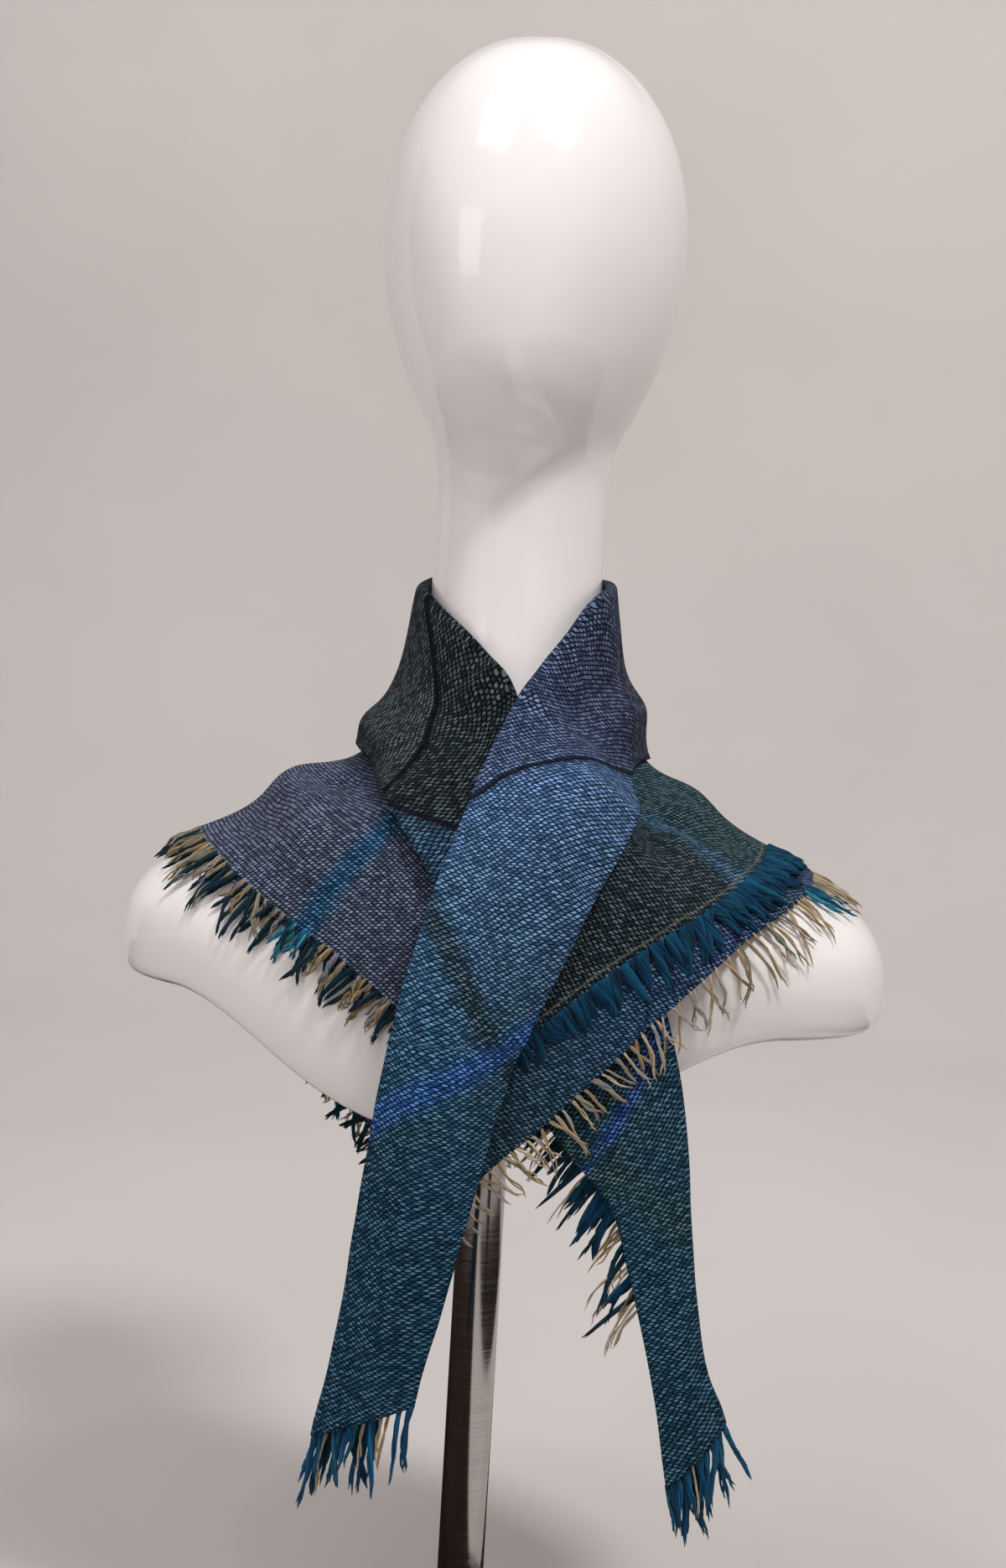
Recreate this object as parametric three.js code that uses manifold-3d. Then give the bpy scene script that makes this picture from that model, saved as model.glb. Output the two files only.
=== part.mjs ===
import * as THREE from 'three';
import { mergeVertices } from 'three/addons/utils/BufferGeometryUtils.js';
import Module from 'manifold-3d';

// Square woollen scarf, folded on the diagonal, its long folded edge turned over as a soft collar band
// round the neck, the two ends crossed on the chest, on a head-and-shoulders display bust with a pole.
// Millimetres, +Z up. The bust faces -Y, its left shoulder as seen from the front is at -X.

const wasm = await Module();
wasm.setup();

// Cloth
const plyWall = 1.3; // one ply of the cape
const plyGap = 0.8; // between the two plies
const bandWall = 2.4; // the folded layers in one arm of the band
const seamGap = 0.3; // between pieces that meet at an edge

// Fringe
const fringeLength = 27;
const lockSpacing = 11;
const lockWidth = 2.6;
const lockHeight = 1.5;
const stripWidth = 2.4;
const lockStations = [0, 0.45, 1]; // along a lock, from its root to its tip
const lockTaper = [0.5, 1, 0]; // its width at each of them
const lockLean = 0.3; // most that a lock leans sideways, as a slope
const lockShift = 0.22; // most that it stands off its even place, as a share of the spacing
const lockVariety = 0.14; // most that its length differs

// Stand
const datumHeight = 30; // what the heights in the tables are measured from, above the floor
const poleRadius = 12.5;
const seatHeight = datumHeight + 350; // underside of the bust, where the pole meets it
const seatRadius = 20;
const baseRadius = 130;
const baseThickness = 8;
const baseEdge = 1.5; // chamfer of the plate's upper edge
const roundSides = 32; // sides of the pole, and half of the plate's

const degree = Math.PI / 180;

// Reads one column of a table at a place between its rows, along a smooth curve.
function readTable(rows, column, place) {
  const last = rows.length - 1;
  const inside = Math.min(Math.max(place, rows[0].at), rows[last].at);
  let k = 0;
  while (k < last - 1 && rows[k + 1].at < inside) k += 1;
  const slope = (i) => {
    const before = rows[Math.max(i - 1, 0)];
    const after = rows[Math.min(i + 1, last)];
    return (after[column] - before[column]) / (after.at - before.at);
  };
  const width = rows[k + 1].at - rows[k].at;
  const t = (inside - rows[k].at) / width;
  const from = rows[k][column];
  const to = rows[k + 1][column];
  return from + (to - from) * t * t * (3 - 2 * t)
    + slope(k) * width * t * (1 - t) * (1 - t)
    - slope(k + 1) * width * t * t * (1 - t);
}

// Rings of the bust from its lower lip (0) up over the shoulders, neck and head. Heights differ round a
// ring: side is at the shoulders, front and back are on the middle line.
const bustRings = [
  { at: 0, side: 370, front: 311, back: 318, halfWidth: 199, frontDepth: 92, backDepth: 74, square: 2.5 },
  { at: 1, side: 376, front: 318, back: 325, halfWidth: 202.5, frontDepth: 97, backDepth: 79, square: 2.5 },
  { at: 2, side: 392, front: 348, back: 352, halfWidth: 203.5, frontDepth: 103, backDepth: 84, square: 2.45 },
  { at: 3, side: 408, front: 384, back: 386, halfWidth: 200, frontDepth: 105, backDepth: 87, square: 2.4 },
  { at: 4, side: 422, front: 418, back: 418, halfWidth: 191, frontDepth: 101, backDepth: 88, square: 2.3 },
  { at: 5, side: 436, front: 446, back: 446, halfWidth: 175, frontDepth: 92, backDepth: 86, square: 2.2 },
  { at: 6, side: 448, front: 468, back: 470, halfWidth: 150, frontDepth: 81, backDepth: 81, square: 2.1 },
  { at: 7, side: 460, front: 486, back: 490, halfWidth: 120, frontDepth: 70, backDepth: 75, square: 2 },
  { at: 8, side: 475, front: 502, back: 508, halfWidth: 92, frontDepth: 61, backDepth: 69, square: 2 },
  { at: 9, side: 494, front: 519, back: 526, halfWidth: 70, frontDepth: 54, backDepth: 63, square: 2 },
  { at: 10, side: 520, front: 540, back: 545, halfWidth: 54.5, frontDepth: 49, backDepth: 58, square: 2 },
  { at: 11, side: 556, front: 564, back: 566, halfWidth: 46.5, frontDepth: 46, backDepth: 54, square: 2 },
  { at: 12, side: 600, front: 602, back: 602, halfWidth: 44.3, frontDepth: 46, backDepth: 52, square: 2 },
  { at: 13, side: 634, front: 636, back: 632, halfWidth: 44.6, frontDepth: 48, backDepth: 53, square: 2 },
  { at: 14, side: 650, front: 653, back: 648, halfWidth: 46, frontDepth: 56, backDepth: 56, square: 2 },
  { at: 15, side: 661, front: 664, back: 662, halfWidth: 48.5, frontDepth: 70, backDepth: 62, square: 2 },
  { at: 16, side: 678, front: 678, back: 680, halfWidth: 57, frontDepth: 83, backDepth: 74, square: 2 },
  { at: 17, side: 702, front: 700, back: 702, halfWidth: 67.5, frontDepth: 91, backDepth: 87, square: 2 },
  { at: 18, side: 730, front: 728, back: 730, halfWidth: 75, frontDepth: 95, backDepth: 97, square: 2 },
  { at: 19, side: 759, front: 757, back: 759, halfWidth: 77.8, frontDepth: 95, backDepth: 101, square: 2 },
  { at: 20, side: 790, front: 788, back: 790, halfWidth: 75.5, frontDepth: 89, backDepth: 98, square: 2 },
  { at: 21, side: 818, front: 816, back: 818, halfWidth: 67, frontDepth: 78, backDepth: 87, square: 2 },
  { at: 22, side: 841, front: 839, back: 841, halfWidth: 52, frontDepth: 60, backDepth: 66, square: 2 },
  { at: 23, side: 856, front: 855, back: 856, halfWidth: 33, frontDepth: 38, backDepth: 41, square: 2 },
  { at: 24, side: 862.5, front: 862.5, back: 862.5, halfWidth: 13, frontDepth: 15, backDepth: 16, square: 2 },
];
const headTop = datumHeight + 864;
const dipReach = 0.75; // share of the half-turn from the middle line in which a ring's dip runs out
const dishShare = 0.06; // where the hollow underside starts, from the lip towards the seat
const dishStep = 1.5; // how far up it starts

function bustPoint(turn, level) {
  const read = (column) => readTable(bustRings, column, level);
  const sine = -Math.sin(turn * degree);
  const cosine = Math.cos(turn * degree);
  const power = 2 / read('square');
  const depth = cosine > 0 ? read('frontDepth') : read('backDepth');
  const middle = cosine > 0 ? read('front') : read('back');
  const side = read('side');
  const dip = 0.5 + 0.5 * Math.cos(Math.PI * Math.min(1, Math.abs(sine) / dipReach));
  return new THREE.Vector3(
    read('halfWidth') * Math.sign(sine) * Math.abs(sine) ** power,
    -depth * Math.sign(cosine) * Math.abs(cosine) ** power,
    datumHeight + side + (middle - side) * dip,
  );
}

// Cloth lies in the bust's own measure: turn is in degrees round the body (0 front, 90 the shoulder at -X,
// 180 back, 270 the shoulder at +X, 360 front again), drop is millimetres down its surface from the upper
// neck, and from the fullest ring the cloth hangs straight down.
const neckLevel = 12.4;
const hangLevel = 2.5;
const profileSteps = 48;
const profiles = new Map();

function bustProfile(turn) {
  const key = turn.toFixed(4);
  if (profiles.has(key)) return profiles.get(key);
  const stations = [];
  let length = 0;
  for (let i = 0; i <= profileSteps; i += 1) {
    const level = neckLevel + (hangLevel - neckLevel) * i / profileSteps;
    const point = bustPoint(turn, level);
    const round = bustPoint(turn + 1, level).sub(bustPoint(turn - 1, level));
    const down = bustPoint(turn, level - 0.1).sub(bustPoint(turn, level + 0.1));
    const normal = round.cross(down).normalize();
    if (i > 0) length += point.distanceTo(stations[i - 1].point);
    stations.push({ point, normal, length });
  }
  profiles.set(key, stations);
  return stations;
}

function bodyPoint(turn, drop, lift) {
  const stations = bustProfile(turn);
  const end = stations[profileSteps];
  if (drop >= end.length) {
    const flat = new THREE.Vector3(end.normal.x, end.normal.y, 0).normalize();
    return end.point.clone().addScaledVector(flat, lift).add(new THREE.Vector3(0, 0, end.length - drop));
  }
  let k = 0;
  while (k < profileSteps - 1 && stations[k + 1].length < drop) k += 1;
  const t = (drop - stations[k].length) / (stations[k + 1].length - stations[k].length);
  const normal = stations[k].normal.clone().lerp(stations[k + 1].normal, t).normalize();
  return stations[k].point.clone().lerp(stations[k + 1].point, t).addScaledVector(normal, lift);
}

// Solids

// Triangles of a closed body as a geometry, turned so that its faces point out.
function solidFromTriangles(triangles) {
  const volume = triangles.reduce((sum, [a, b, c]) => sum + a.dot(b.clone().cross(c)), 0);
  const corners = triangles.flatMap(([a, b, c]) => (volume > 0 ? [a, b, c] : [a, c, b]));
  const positions = new Float32Array(corners.length * 3);
  corners.forEach((corner, i) => corner.toArray(positions, i * 3));
  const geometry = new THREE.BufferGeometry();
  geometry.setAttribute('position', new THREE.BufferAttribute(positions, 3));
  return mergeVertices(geometry, 1e-4);
}

// A wall between two grids of points, outer[i][j] and inner[i][j], closed along its four edges. Its two
// faces are split the same way, along each square's shorter diagonal.
function wallSolid(outer, inner) {
  const triangles = [];
  const quad = (a, b, c, d) => triangles.push([a, b, c], [a, c, d]);
  const lastRow = outer.length - 1;
  const lastColumn = outer[0].length - 1;
  for (let i = 0; i < lastRow; i += 1) {
    for (let j = 0; j < lastColumn; j += 1) {
      const forward = outer[i][j].distanceTo(outer[i + 1][j + 1]);
      const crossing = outer[i + 1][j].distanceTo(outer[i][j + 1]);
      if (forward < crossing) {
        quad(outer[i][j], outer[i + 1][j], outer[i + 1][j + 1], outer[i][j + 1]);
        quad(inner[i][j], inner[i][j + 1], inner[i + 1][j + 1], inner[i + 1][j]);
      } else {
        quad(outer[i + 1][j], outer[i + 1][j + 1], outer[i][j + 1], outer[i][j]);
        quad(inner[i + 1][j], inner[i][j], inner[i][j + 1], inner[i + 1][j + 1]);
      }
    }
    quad(outer[i][0], inner[i][0], inner[i + 1][0], outer[i + 1][0]);
    quad(outer[i][lastColumn], outer[i + 1][lastColumn], inner[i + 1][lastColumn], inner[i][lastColumn]);
  }
  for (let j = 0; j < lastColumn; j += 1) {
    quad(outer[0][j], outer[0][j + 1], inner[0][j + 1], inner[0][j]);
    quad(outer[lastRow][j], inner[lastRow][j], inner[lastRow][j + 1], outer[lastRow][j + 1]);
  }
  return solidFromTriangles(triangles);
}

// Closed rings, one above the next, shut by a point at each end.
function ringSolid(rings, bottom, top) {
  const triangles = [];
  const count = rings[0].length;
  for (let j = 0; j < count; j += 1) {
    const next = (j + 1) % count;
    for (let i = 0; i < rings.length - 1; i += 1) {
      triangles.push([rings[i][j], rings[i][next], rings[i + 1][next]]);
      triangles.push([rings[i][j], rings[i + 1][next], rings[i + 1][j]]);
    }
    triangles.push([bottom, rings[0][next], rings[0][j]]);
    triangles.push([top, rings[rings.length - 1][j], rings[rings.length - 1][next]]);
  }
  return solidFromTriangles(triangles);
}

const count = (n, make) => Array.from({ length: n + 1 }, (unused, i) => make(i / n, i));

// Bust

function makeBust() {
  const sides = 36;
  const levels = [
    0, 0.5, 1, 2, 3, 4, 5, 6, 6.5, 7, 7.5, 8, 8.5, 9, 9.5, 10, 10.5,
    11, 12, 13, 14, 15, 16, 17, 18, 19, 20, 21, 22, 23, 24,
  ];
  const turns = Array.from({ length: sides }, (unused, j) => -360 * j / sides);
  const seat = turns.map((turn) => new THREE.Vector3(
    -seatRadius * Math.sin(turn * degree),
    -seatRadius * Math.cos(turn * degree),
    seatHeight,
  ));
  const lip = turns.map((turn) => bustPoint(turn, 0));
  const dish = lip.map((point, j) => {
    const inside = point.clone().lerp(seat[j], dishShare);
    return inside.setZ(inside.z + dishStep);
  });
  const skin = levels.map((level) => turns.map((turn) => bustPoint(turn, level)));
  return ringSolid(
    [seat, dish, ...skin],
    new THREE.Vector3(0, 0, seatHeight),
    new THREE.Vector3(0, 0, headTop),
  );
}

function makePole() {
  const bottom = baseThickness + seamGap;
  const top = seatHeight - seamGap;
  const pole = new THREE.CylinderGeometry(poleRadius, poleRadius, top - bottom, roundSides);
  pole.rotateX(Math.PI / 2);
  pole.translate(0, 0, (top + bottom) / 2);
  return pole;
}

function makeBasePlate() {
  const profile = [
    new THREE.Vector2(0, 0),
    new THREE.Vector2(baseRadius, 0),
    new THREE.Vector2(baseRadius, baseThickness - baseEdge),
    new THREE.Vector2(baseRadius - baseEdge, baseThickness),
    new THREE.Vector2(0, baseThickness),
  ];
  const plate = new THREE.LatheGeometry(profile, 2 * roundSides);
  plate.rotateX(Math.PI / 2);
  return plate;
}

// Cape: the two plies of the folded square over both shoulders and down the back. It starts under the
// crossed ends at the front, goes round by the left shoulder and the back, and ends on top of the under
// end. top, outerEdge and innerEdge are drops, lift is the inner ply's gap to the bust.
const capeRows = [
  { at: -12, top: 160, outerEdge: 292, innerEdge: 296, lift: 1.3 },
  { at: 0, top: 165, outerEdge: 264, innerEdge: 268, lift: 1.3 },
  { at: 12, top: 150, outerEdge: 240, innerEdge: 244, lift: 1.3 },
  { at: 24, top: 140, outerEdge: 232, innerEdge: 236, lift: 1.3 },
  { at: 45, top: 127, outerEdge: 231, innerEdge: 235, lift: 1.3 },
  { at: 70, top: 120, outerEdge: 232, innerEdge: 236, lift: 1.2 },
  { at: 90, top: 118, outerEdge: 237, innerEdge: 241, lift: 1.1 },
  { at: 105, top: 118, outerEdge: 244, innerEdge: 248, lift: 1.3 },
  { at: 120, top: 118, outerEdge: 264, innerEdge: 268, lift: 1.9 },
  { at: 135, top: 121, outerEdge: 300, innerEdge: 304, lift: 2 },
  { at: 150, top: 126, outerEdge: 339, innerEdge: 344, lift: 2 },
  { at: 161, top: 126, outerEdge: 367, innerEdge: 373, lift: 2 },
  { at: 169.5, top: 126, outerEdge: 382, innerEdge: 390, lift: 2 },
  { at: 176, top: 126, outerEdge: 348, innerEdge: 358, lift: 2 },
  { at: 184, top: 126, outerEdge: 301, innerEdge: 312, lift: 2 },
  { at: 193, top: 126, outerEdge: 264, innerEdge: 276, lift: 2 },
  { at: 205, top: 126, outerEdge: 242, innerEdge: 254, lift: 2 },
  { at: 225, top: 121, outerEdge: 228, innerEdge: 243, lift: 2 },
  { at: 250, top: 119, outerEdge: 213, innerEdge: 236, lift: 1.3 },
  { at: 270, top: 118, outerEdge: 208, innerEdge: 235, lift: 1.1 },
  { at: 290, top: 122, outerEdge: 214, innerEdge: 240, lift: 1.3 },
  { at: 310, top: 132, outerEdge: 225, innerEdge: 247, lift: 2.2 },
  { at: 325, top: 148, outerEdge: 233, innerEdge: 254, lift: 7 },
  { at: 335, top: 168, outerEdge: 236, innerEdge: 264, lift: 13 },
  { at: 343, top: 190, outerEdge: 243, innerEdge: 284, lift: 16 },
  { at: 350, top: 214, outerEdge: 256, innerEdge: 306, lift: 16.3 },
  { at: 356, top: 230, outerEdge: 270, innerEdge: 328, lift: 16.3 },
  { at: 362, top: 242, outerEdge: 286, innerEdge: 366, lift: 16.3 },
];

// Raised folds of the cape: where each is highest, how far it reaches each way and how high it stands.
const capeFolds = [
  { turn: 84, drop: 174, reach: 36, length: 25, height: 13 },
  { turn: 272, drop: 160, reach: 36, length: 20, height: 8 },
  { turn: 40, drop: 190, reach: 9, length: 60, height: 3 },
  { turn: 128, drop: 250, reach: 9, length: 90, height: 5 },
  { turn: 152, drop: 260, reach: 8, length: 90, height: 4 },
  { turn: 178, drop: 230, reach: 8, length: 80, height: 5 },
  { turn: 206, drop: 190, reach: 9, length: 60, height: 4 },
  { turn: 236, drop: 190, reach: 10, length: 50, height: 4 },
  { turn: 306, drop: 190, reach: 9, length: 50, height: 3 },
];

function capeFoldLift(turn, drop) {
  return capeFolds.reduce((sum, fold) => {
    const across = (turn - fold.turn) / fold.reach;
    const along = (drop - fold.drop) / fold.length;
    return sum + fold.height * Math.exp(-across * across - along * along);
  }, 0);
}

function capePoint(turn, drop, above) {
  return bodyPoint(turn, drop, readTable(capeRows, 'lift', turn) + capeFoldLift(turn, drop) + above);
}

const capeStart = capeRows[0].at;
const capeEnd = capeRows[capeRows.length - 1].at;
const capeSteps = 68;
const capeRowsDown = 6; // steps down to the outer ply's edge

const capeTurn = (step) => capeStart + (capeEnd - capeStart) * step / capeSteps;

// Both plies share the steps down to the outer ply's edge, and the inner ply goes on to its own.
function makeCapePly(edge, above) {
  const grid = (height) => count(capeSteps, (t, i) => {
    const turn = capeTurn(i);
    const top = readTable(capeRows, 'top', turn);
    const shared = readTable(capeRows, 'outerEdge', turn);
    const bottom = readTable(capeRows, edge, turn);
    const drops = count(capeRowsDown, (s) => top + (shared - top) * s);
    if (bottom > shared) drops.push(bottom);
    return drops.map((drop) => capePoint(turn, drop, height));
  });
  return wallSolid(grid(above + plyWall), grid(above));
}

// Band: the long folded edge of the scarf, turned over like a shawl collar. A row gives its folded edge
// and its free edge in the body's measure, and the lift of its middle at both.
const bandRows = [
  { at: -2, foldTurn: -46, foldDrop: 560, freeTurn: -38, freeDrop: 588, foldLift: 6, freeLift: 6 },
  { at: -1, foldTurn: -42.6, foldDrop: 518, freeTurn: -33.9, freeDrop: 545, foldLift: 6, freeLift: 6 },
  { at: 0, foldTurn: -39.5, foldDrop: 480, freeTurn: -30.2, freeDrop: 500, foldLift: 6, freeLift: 6 },
  { at: 1, foldTurn: -35.9, foldDrop: 452, freeTurn: -27.6, freeDrop: 455, foldLift: 6, freeLift: 6 },
  { at: 2, foldTurn: -33.5, foldDrop: 421, freeTurn: -24.9, freeDrop: 417, foldLift: 6, freeLift: 6 },
  { at: 3, foldTurn: -31.8, foldDrop: 386, freeTurn: -22.3, freeDrop: 384, foldLift: 6, freeLift: 6 },
  { at: 4, foldTurn: -30.6, foldDrop: 350, freeTurn: -19.4, freeDrop: 352, foldLift: 6, freeLift: 6 },
  { at: 5, foldTurn: -28.8, foldDrop: 310, freeTurn: -16.4, freeDrop: 322, foldLift: 6, freeLift: 7 },
  { at: 6, foldTurn: -26.4, foldDrop: 278, freeTurn: -13.2, freeDrop: 294, foldLift: 6.2, freeLift: 8.4 },
  { at: 7, foldTurn: -22.6, foldDrop: 232, freeTurn: -7.5, freeDrop: 258, foldLift: 7, freeLift: 9.8 },
  { at: 8, foldTurn: -18.4, foldDrop: 180, freeTurn: -1, freeDrop: 218, foldLift: 8.6, freeLift: 9.8 },
  { at: 9, foldTurn: -14.5, foldDrop: 130, freeTurn: 5, freeDrop: 184, foldLift: 8.2, freeLift: 9.8 },
  { at: 10, foldTurn: -10, foldDrop: 88, freeTurn: 18, freeDrop: 157, foldLift: 7.2, freeLift: 9.6 },
  { at: 11, foldTurn: 3, foldDrop: 70, freeTurn: 36, freeDrop: 141, foldLift: 5.6, freeLift: 8.6 },
  { at: 12, foldTurn: 26, foldDrop: 53, freeTurn: 55, freeDrop: 133, foldLift: 4.6, freeLift: 7.2 },
  { at: 13, foldTurn: 55, foldDrop: 39, freeTurn: 75, freeDrop: 130, foldLift: 4.6, freeLift: 6.4 },
  { at: 14, foldTurn: 90, foldDrop: 31, freeTurn: 100, freeDrop: 130, foldLift: 4.6, freeLift: 6.6 },
  { at: 15, foldTurn: 130, foldDrop: 24, freeTurn: 135, freeDrop: 130, foldLift: 4.8, freeLift: 8.8 },
  { at: 16, foldTurn: 180, foldDrop: 21, freeTurn: 180, freeDrop: 131, foldLift: 5, freeLift: 9.8 },
  { at: 17, foldTurn: 230, foldDrop: 24, freeTurn: 225, freeDrop: 130, foldLift: 4.8, freeLift: 8.8 },
  { at: 18, foldTurn: 268, foldDrop: 29, freeTurn: 260, freeDrop: 130, foldLift: 4.6, freeLift: 7 },
  { at: 19, foldTurn: 298, foldDrop: 38, freeTurn: 285, freeDrop: 133, foldLift: 5.5, freeLift: 8 },
  { at: 20, foldTurn: 320, foldDrop: 55, freeTurn: 303, freeDrop: 142, foldLift: 10, freeLift: 10 },
  { at: 21, foldTurn: 338, foldDrop: 76, freeTurn: 318, freeDrop: 160, foldLift: 15, freeLift: 15 },
  { at: 22, foldTurn: 350, foldDrop: 97, freeTurn: 331, freeDrop: 182, foldLift: 18, freeLift: 22 },
  { at: 23, foldTurn: 357, foldDrop: 134, freeTurn: 341, freeDrop: 206, foldLift: 20, freeLift: 24.6 },
  { at: 24, foldTurn: 360.5, foldDrop: 180, freeTurn: 346.8, freeDrop: 230, foldLift: 22, freeLift: 24.8 },
  { at: 25, foldTurn: 362.6, foldDrop: 228, freeTurn: 351.8, freeDrop: 260, foldLift: 23.5, freeLift: 24.3 },
  { at: 26, foldTurn: 364.3, foldDrop: 276, freeTurn: 354.2, freeDrop: 290, foldLift: 24, freeLift: 24.3 },
  { at: 27, foldTurn: 366, foldDrop: 334, freeTurn: 356.3, freeDrop: 332, foldLift: 24, freeLift: 24 },
  { at: 28, foldTurn: 367.3, foldDrop: 388, freeTurn: 358.2, freeDrop: 377, foldLift: 24, freeLift: 23 },
  { at: 29, foldTurn: 368.9, foldDrop: 434, freeTurn: 359.6, freeDrop: 415, foldLift: 24, freeLift: 23 },
  { at: 30, foldTurn: 370.4, foldDrop: 464, freeTurn: 360.2, freeDrop: 438, foldLift: 24, freeLift: 23 },
  { at: 31, foldTurn: 371.6, foldDrop: 506, freeTurn: 361, freeDrop: 478, foldLift: 24, freeLift: 23 },
  { at: 32, foldTurn: 372.8, foldDrop: 548, freeTurn: 361.8, freeDrop: 518, foldLift: 24, freeLift: 23 },
];
const bandGap = 2; // between the two arms
const bandPuff = 1.5; // how far the outer arm swells
const armReach = 0.8; // width of the arm that lies underneath, as a share of the band

const bandRadius = (bandWall + bandGap) / 2;

// A point of the band's middle, across from its folded edge (0) to its free edge (1).
function bandEdge(place, across, above) {
  const mix = (fold, free) => {
    const from = readTable(bandRows, fold, place);
    return from + (readTable(bandRows, free, place) - from) * across;
  };
  return bodyPoint(
    mix('foldTurn', 'freeTurn'),
    mix('foldDrop', 'freeDrop'),
    mix('foldLift', 'freeLift') + above,
  );
}

// The band's section at one place: along the upper arm, round the fold and back underneath.
function bandSection(place) {
  const width = bandEdge(place, 0, 0).distanceTo(bandEdge(place, 1, 0));
  const start = bandRadius / width;
  const upper = count(4, (t) => {
    const across = 1 + (start - 1) * t;
    return bandEdge(place, across, bandRadius + bandPuff * Math.sin(Math.PI * across));
  });
  const fold = [50, 0, -50].map((angle) => bandEdge(
    place,
    start * (1 - Math.cos(angle * degree)),
    bandRadius * Math.sin(angle * degree),
  ));
  const lower = count(3, (t) => bandEdge(place, start + (armReach - start) * t, -bandRadius));
  return [...upper, ...fold, ...lower];
}

// Offsets a grid of points to one side of its own surface.
function offsetGrid(grid, distance) {
  const lastRow = grid.length - 1;
  const lastColumn = grid[0].length - 1;
  return grid.map((row, i) => row.map((point, j) => {
    const along = grid[Math.min(i + 1, lastRow)][j].clone().sub(grid[Math.max(i - 1, 0)][j]);
    const across = row[Math.min(j + 1, lastColumn)].clone().sub(row[Math.max(j - 1, 0)]);
    return point.clone().addScaledVector(along.cross(across).normalize(), distance);
  }));
}

function makeBand(from, to, steps) {
  const grid = count(steps, (t) => bandSection(from + (to - from) * t));
  return wallSolid(offsetGrid(grid, bandWall / 2), offsetGrid(grid, -bandWall / 2));
}

// Fringe. A sheet gives points of a cloth by two measures, u and v, beyond its edge too.

const capeSheet = (above) => ({
  point: (turn, drop) => capePoint(turn, drop, above + plyWall / 2),
  stepU: 0.3,
  stepV: 1,
});

const bandSheet = (above) => ({
  point: (place, across) => bandEdge(place, across, above),
  stepU: 0.02,
  stepV: 0.02,
});

// How a sheet's point moves for each of its two measures.
function tangents(sheet, u, v) {
  const { point, stepU, stepV } = sheet;
  return [
    point(u + stepU, v).sub(point(u - stepU, v)).divideScalar(2 * stepU),
    point(u, v + stepV).sub(point(u, v - stepV)).divideScalar(2 * stepV),
  ];
}

// The place reached on a sheet by going some way in a direction.
function walk(sheet, place, direction, distance) {
  const [a, b] = tangents(sheet, place.u, place.v);
  const square = a.dot(a) * b.dot(b) - a.dot(b) ** 2;
  const alongA = direction.dot(a) * distance;
  const alongB = direction.dot(b) * distance;
  return {
    u: place.u + (alongA * b.dot(b) - alongB * a.dot(b)) / square,
    v: place.v + (alongB * a.dot(a) - alongA * a.dot(b)) / square,
  };
}

// An uneven number from -1 to 1 for each whole number.
function scatter(seed) {
  const wave = Math.sin(seed * 12.9898) * 43758.5453;
  return 2 * (wave - Math.floor(wave)) - 1;
}

function toManifold(geometry) {
  return new wasm.Manifold(new wasm.Mesh({
    numProp: 3,
    vertProperties: geometry.getAttribute('position').array,
    triVerts: Uint32Array.from(geometry.index.array),
  }));
}

function toGeometry(manifold) {
  const mesh = manifold.getMesh();
  const geometry = new THREE.BufferGeometry();
  geometry.setAttribute('position', new THREE.BufferAttribute(new Float32Array(mesh.vertProperties), 3));
  geometry.setIndex(Array.from(mesh.triVerts));
  return geometry;
}

// One lock: a three-sided spike that follows the sheet from its root in the strip and leans a little.
function makeLock(sheet, root, start, heading, lean, length) {
  let place = start;
  const rings = lockStations.map((station, k) => {
    const direction = heading.clone().addScaledVector(lean, station).normalize();
    if (k > 0) place = walk(sheet, place, direction, (station - lockStations[k - 1]) * length);
    const [a, b] = tangents(sheet, place.u, place.v);
    const normal = a.cross(b).normalize();
    const side = direction.clone().cross(normal).normalize().multiplyScalar(lockTaper[k] * lockWidth / 2);
    const rise = normal.multiplyScalar(lockTaper[k] * lockHeight / 2);
    const point = k > 0 ? sheet.point(place.u, place.v) : root;
    return [
      point.clone().add(side).sub(rise),
      point.clone().add(rise),
      point.clone().sub(side).sub(rise),
    ];
  });
  const tip = rings.pop()[1];
  const triangles = [[rings[0][0], rings[0][1], rings[0][2]]];
  for (let j = 0; j < 3; j += 1) {
    const next = (j + 1) % 3;
    for (let k = 0; k < rings.length - 1; k += 1) {
      triangles.push([rings[k][j], rings[k + 1][j], rings[k + 1][next]]);
      triangles.push([rings[k][j], rings[k + 1][next], rings[k][next]]);
    }
    const last = rings[rings.length - 1];
    triangles.push([last[j], tip, last[next]]);
  }
  return solidFromTriangles(triangles);
}

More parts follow.
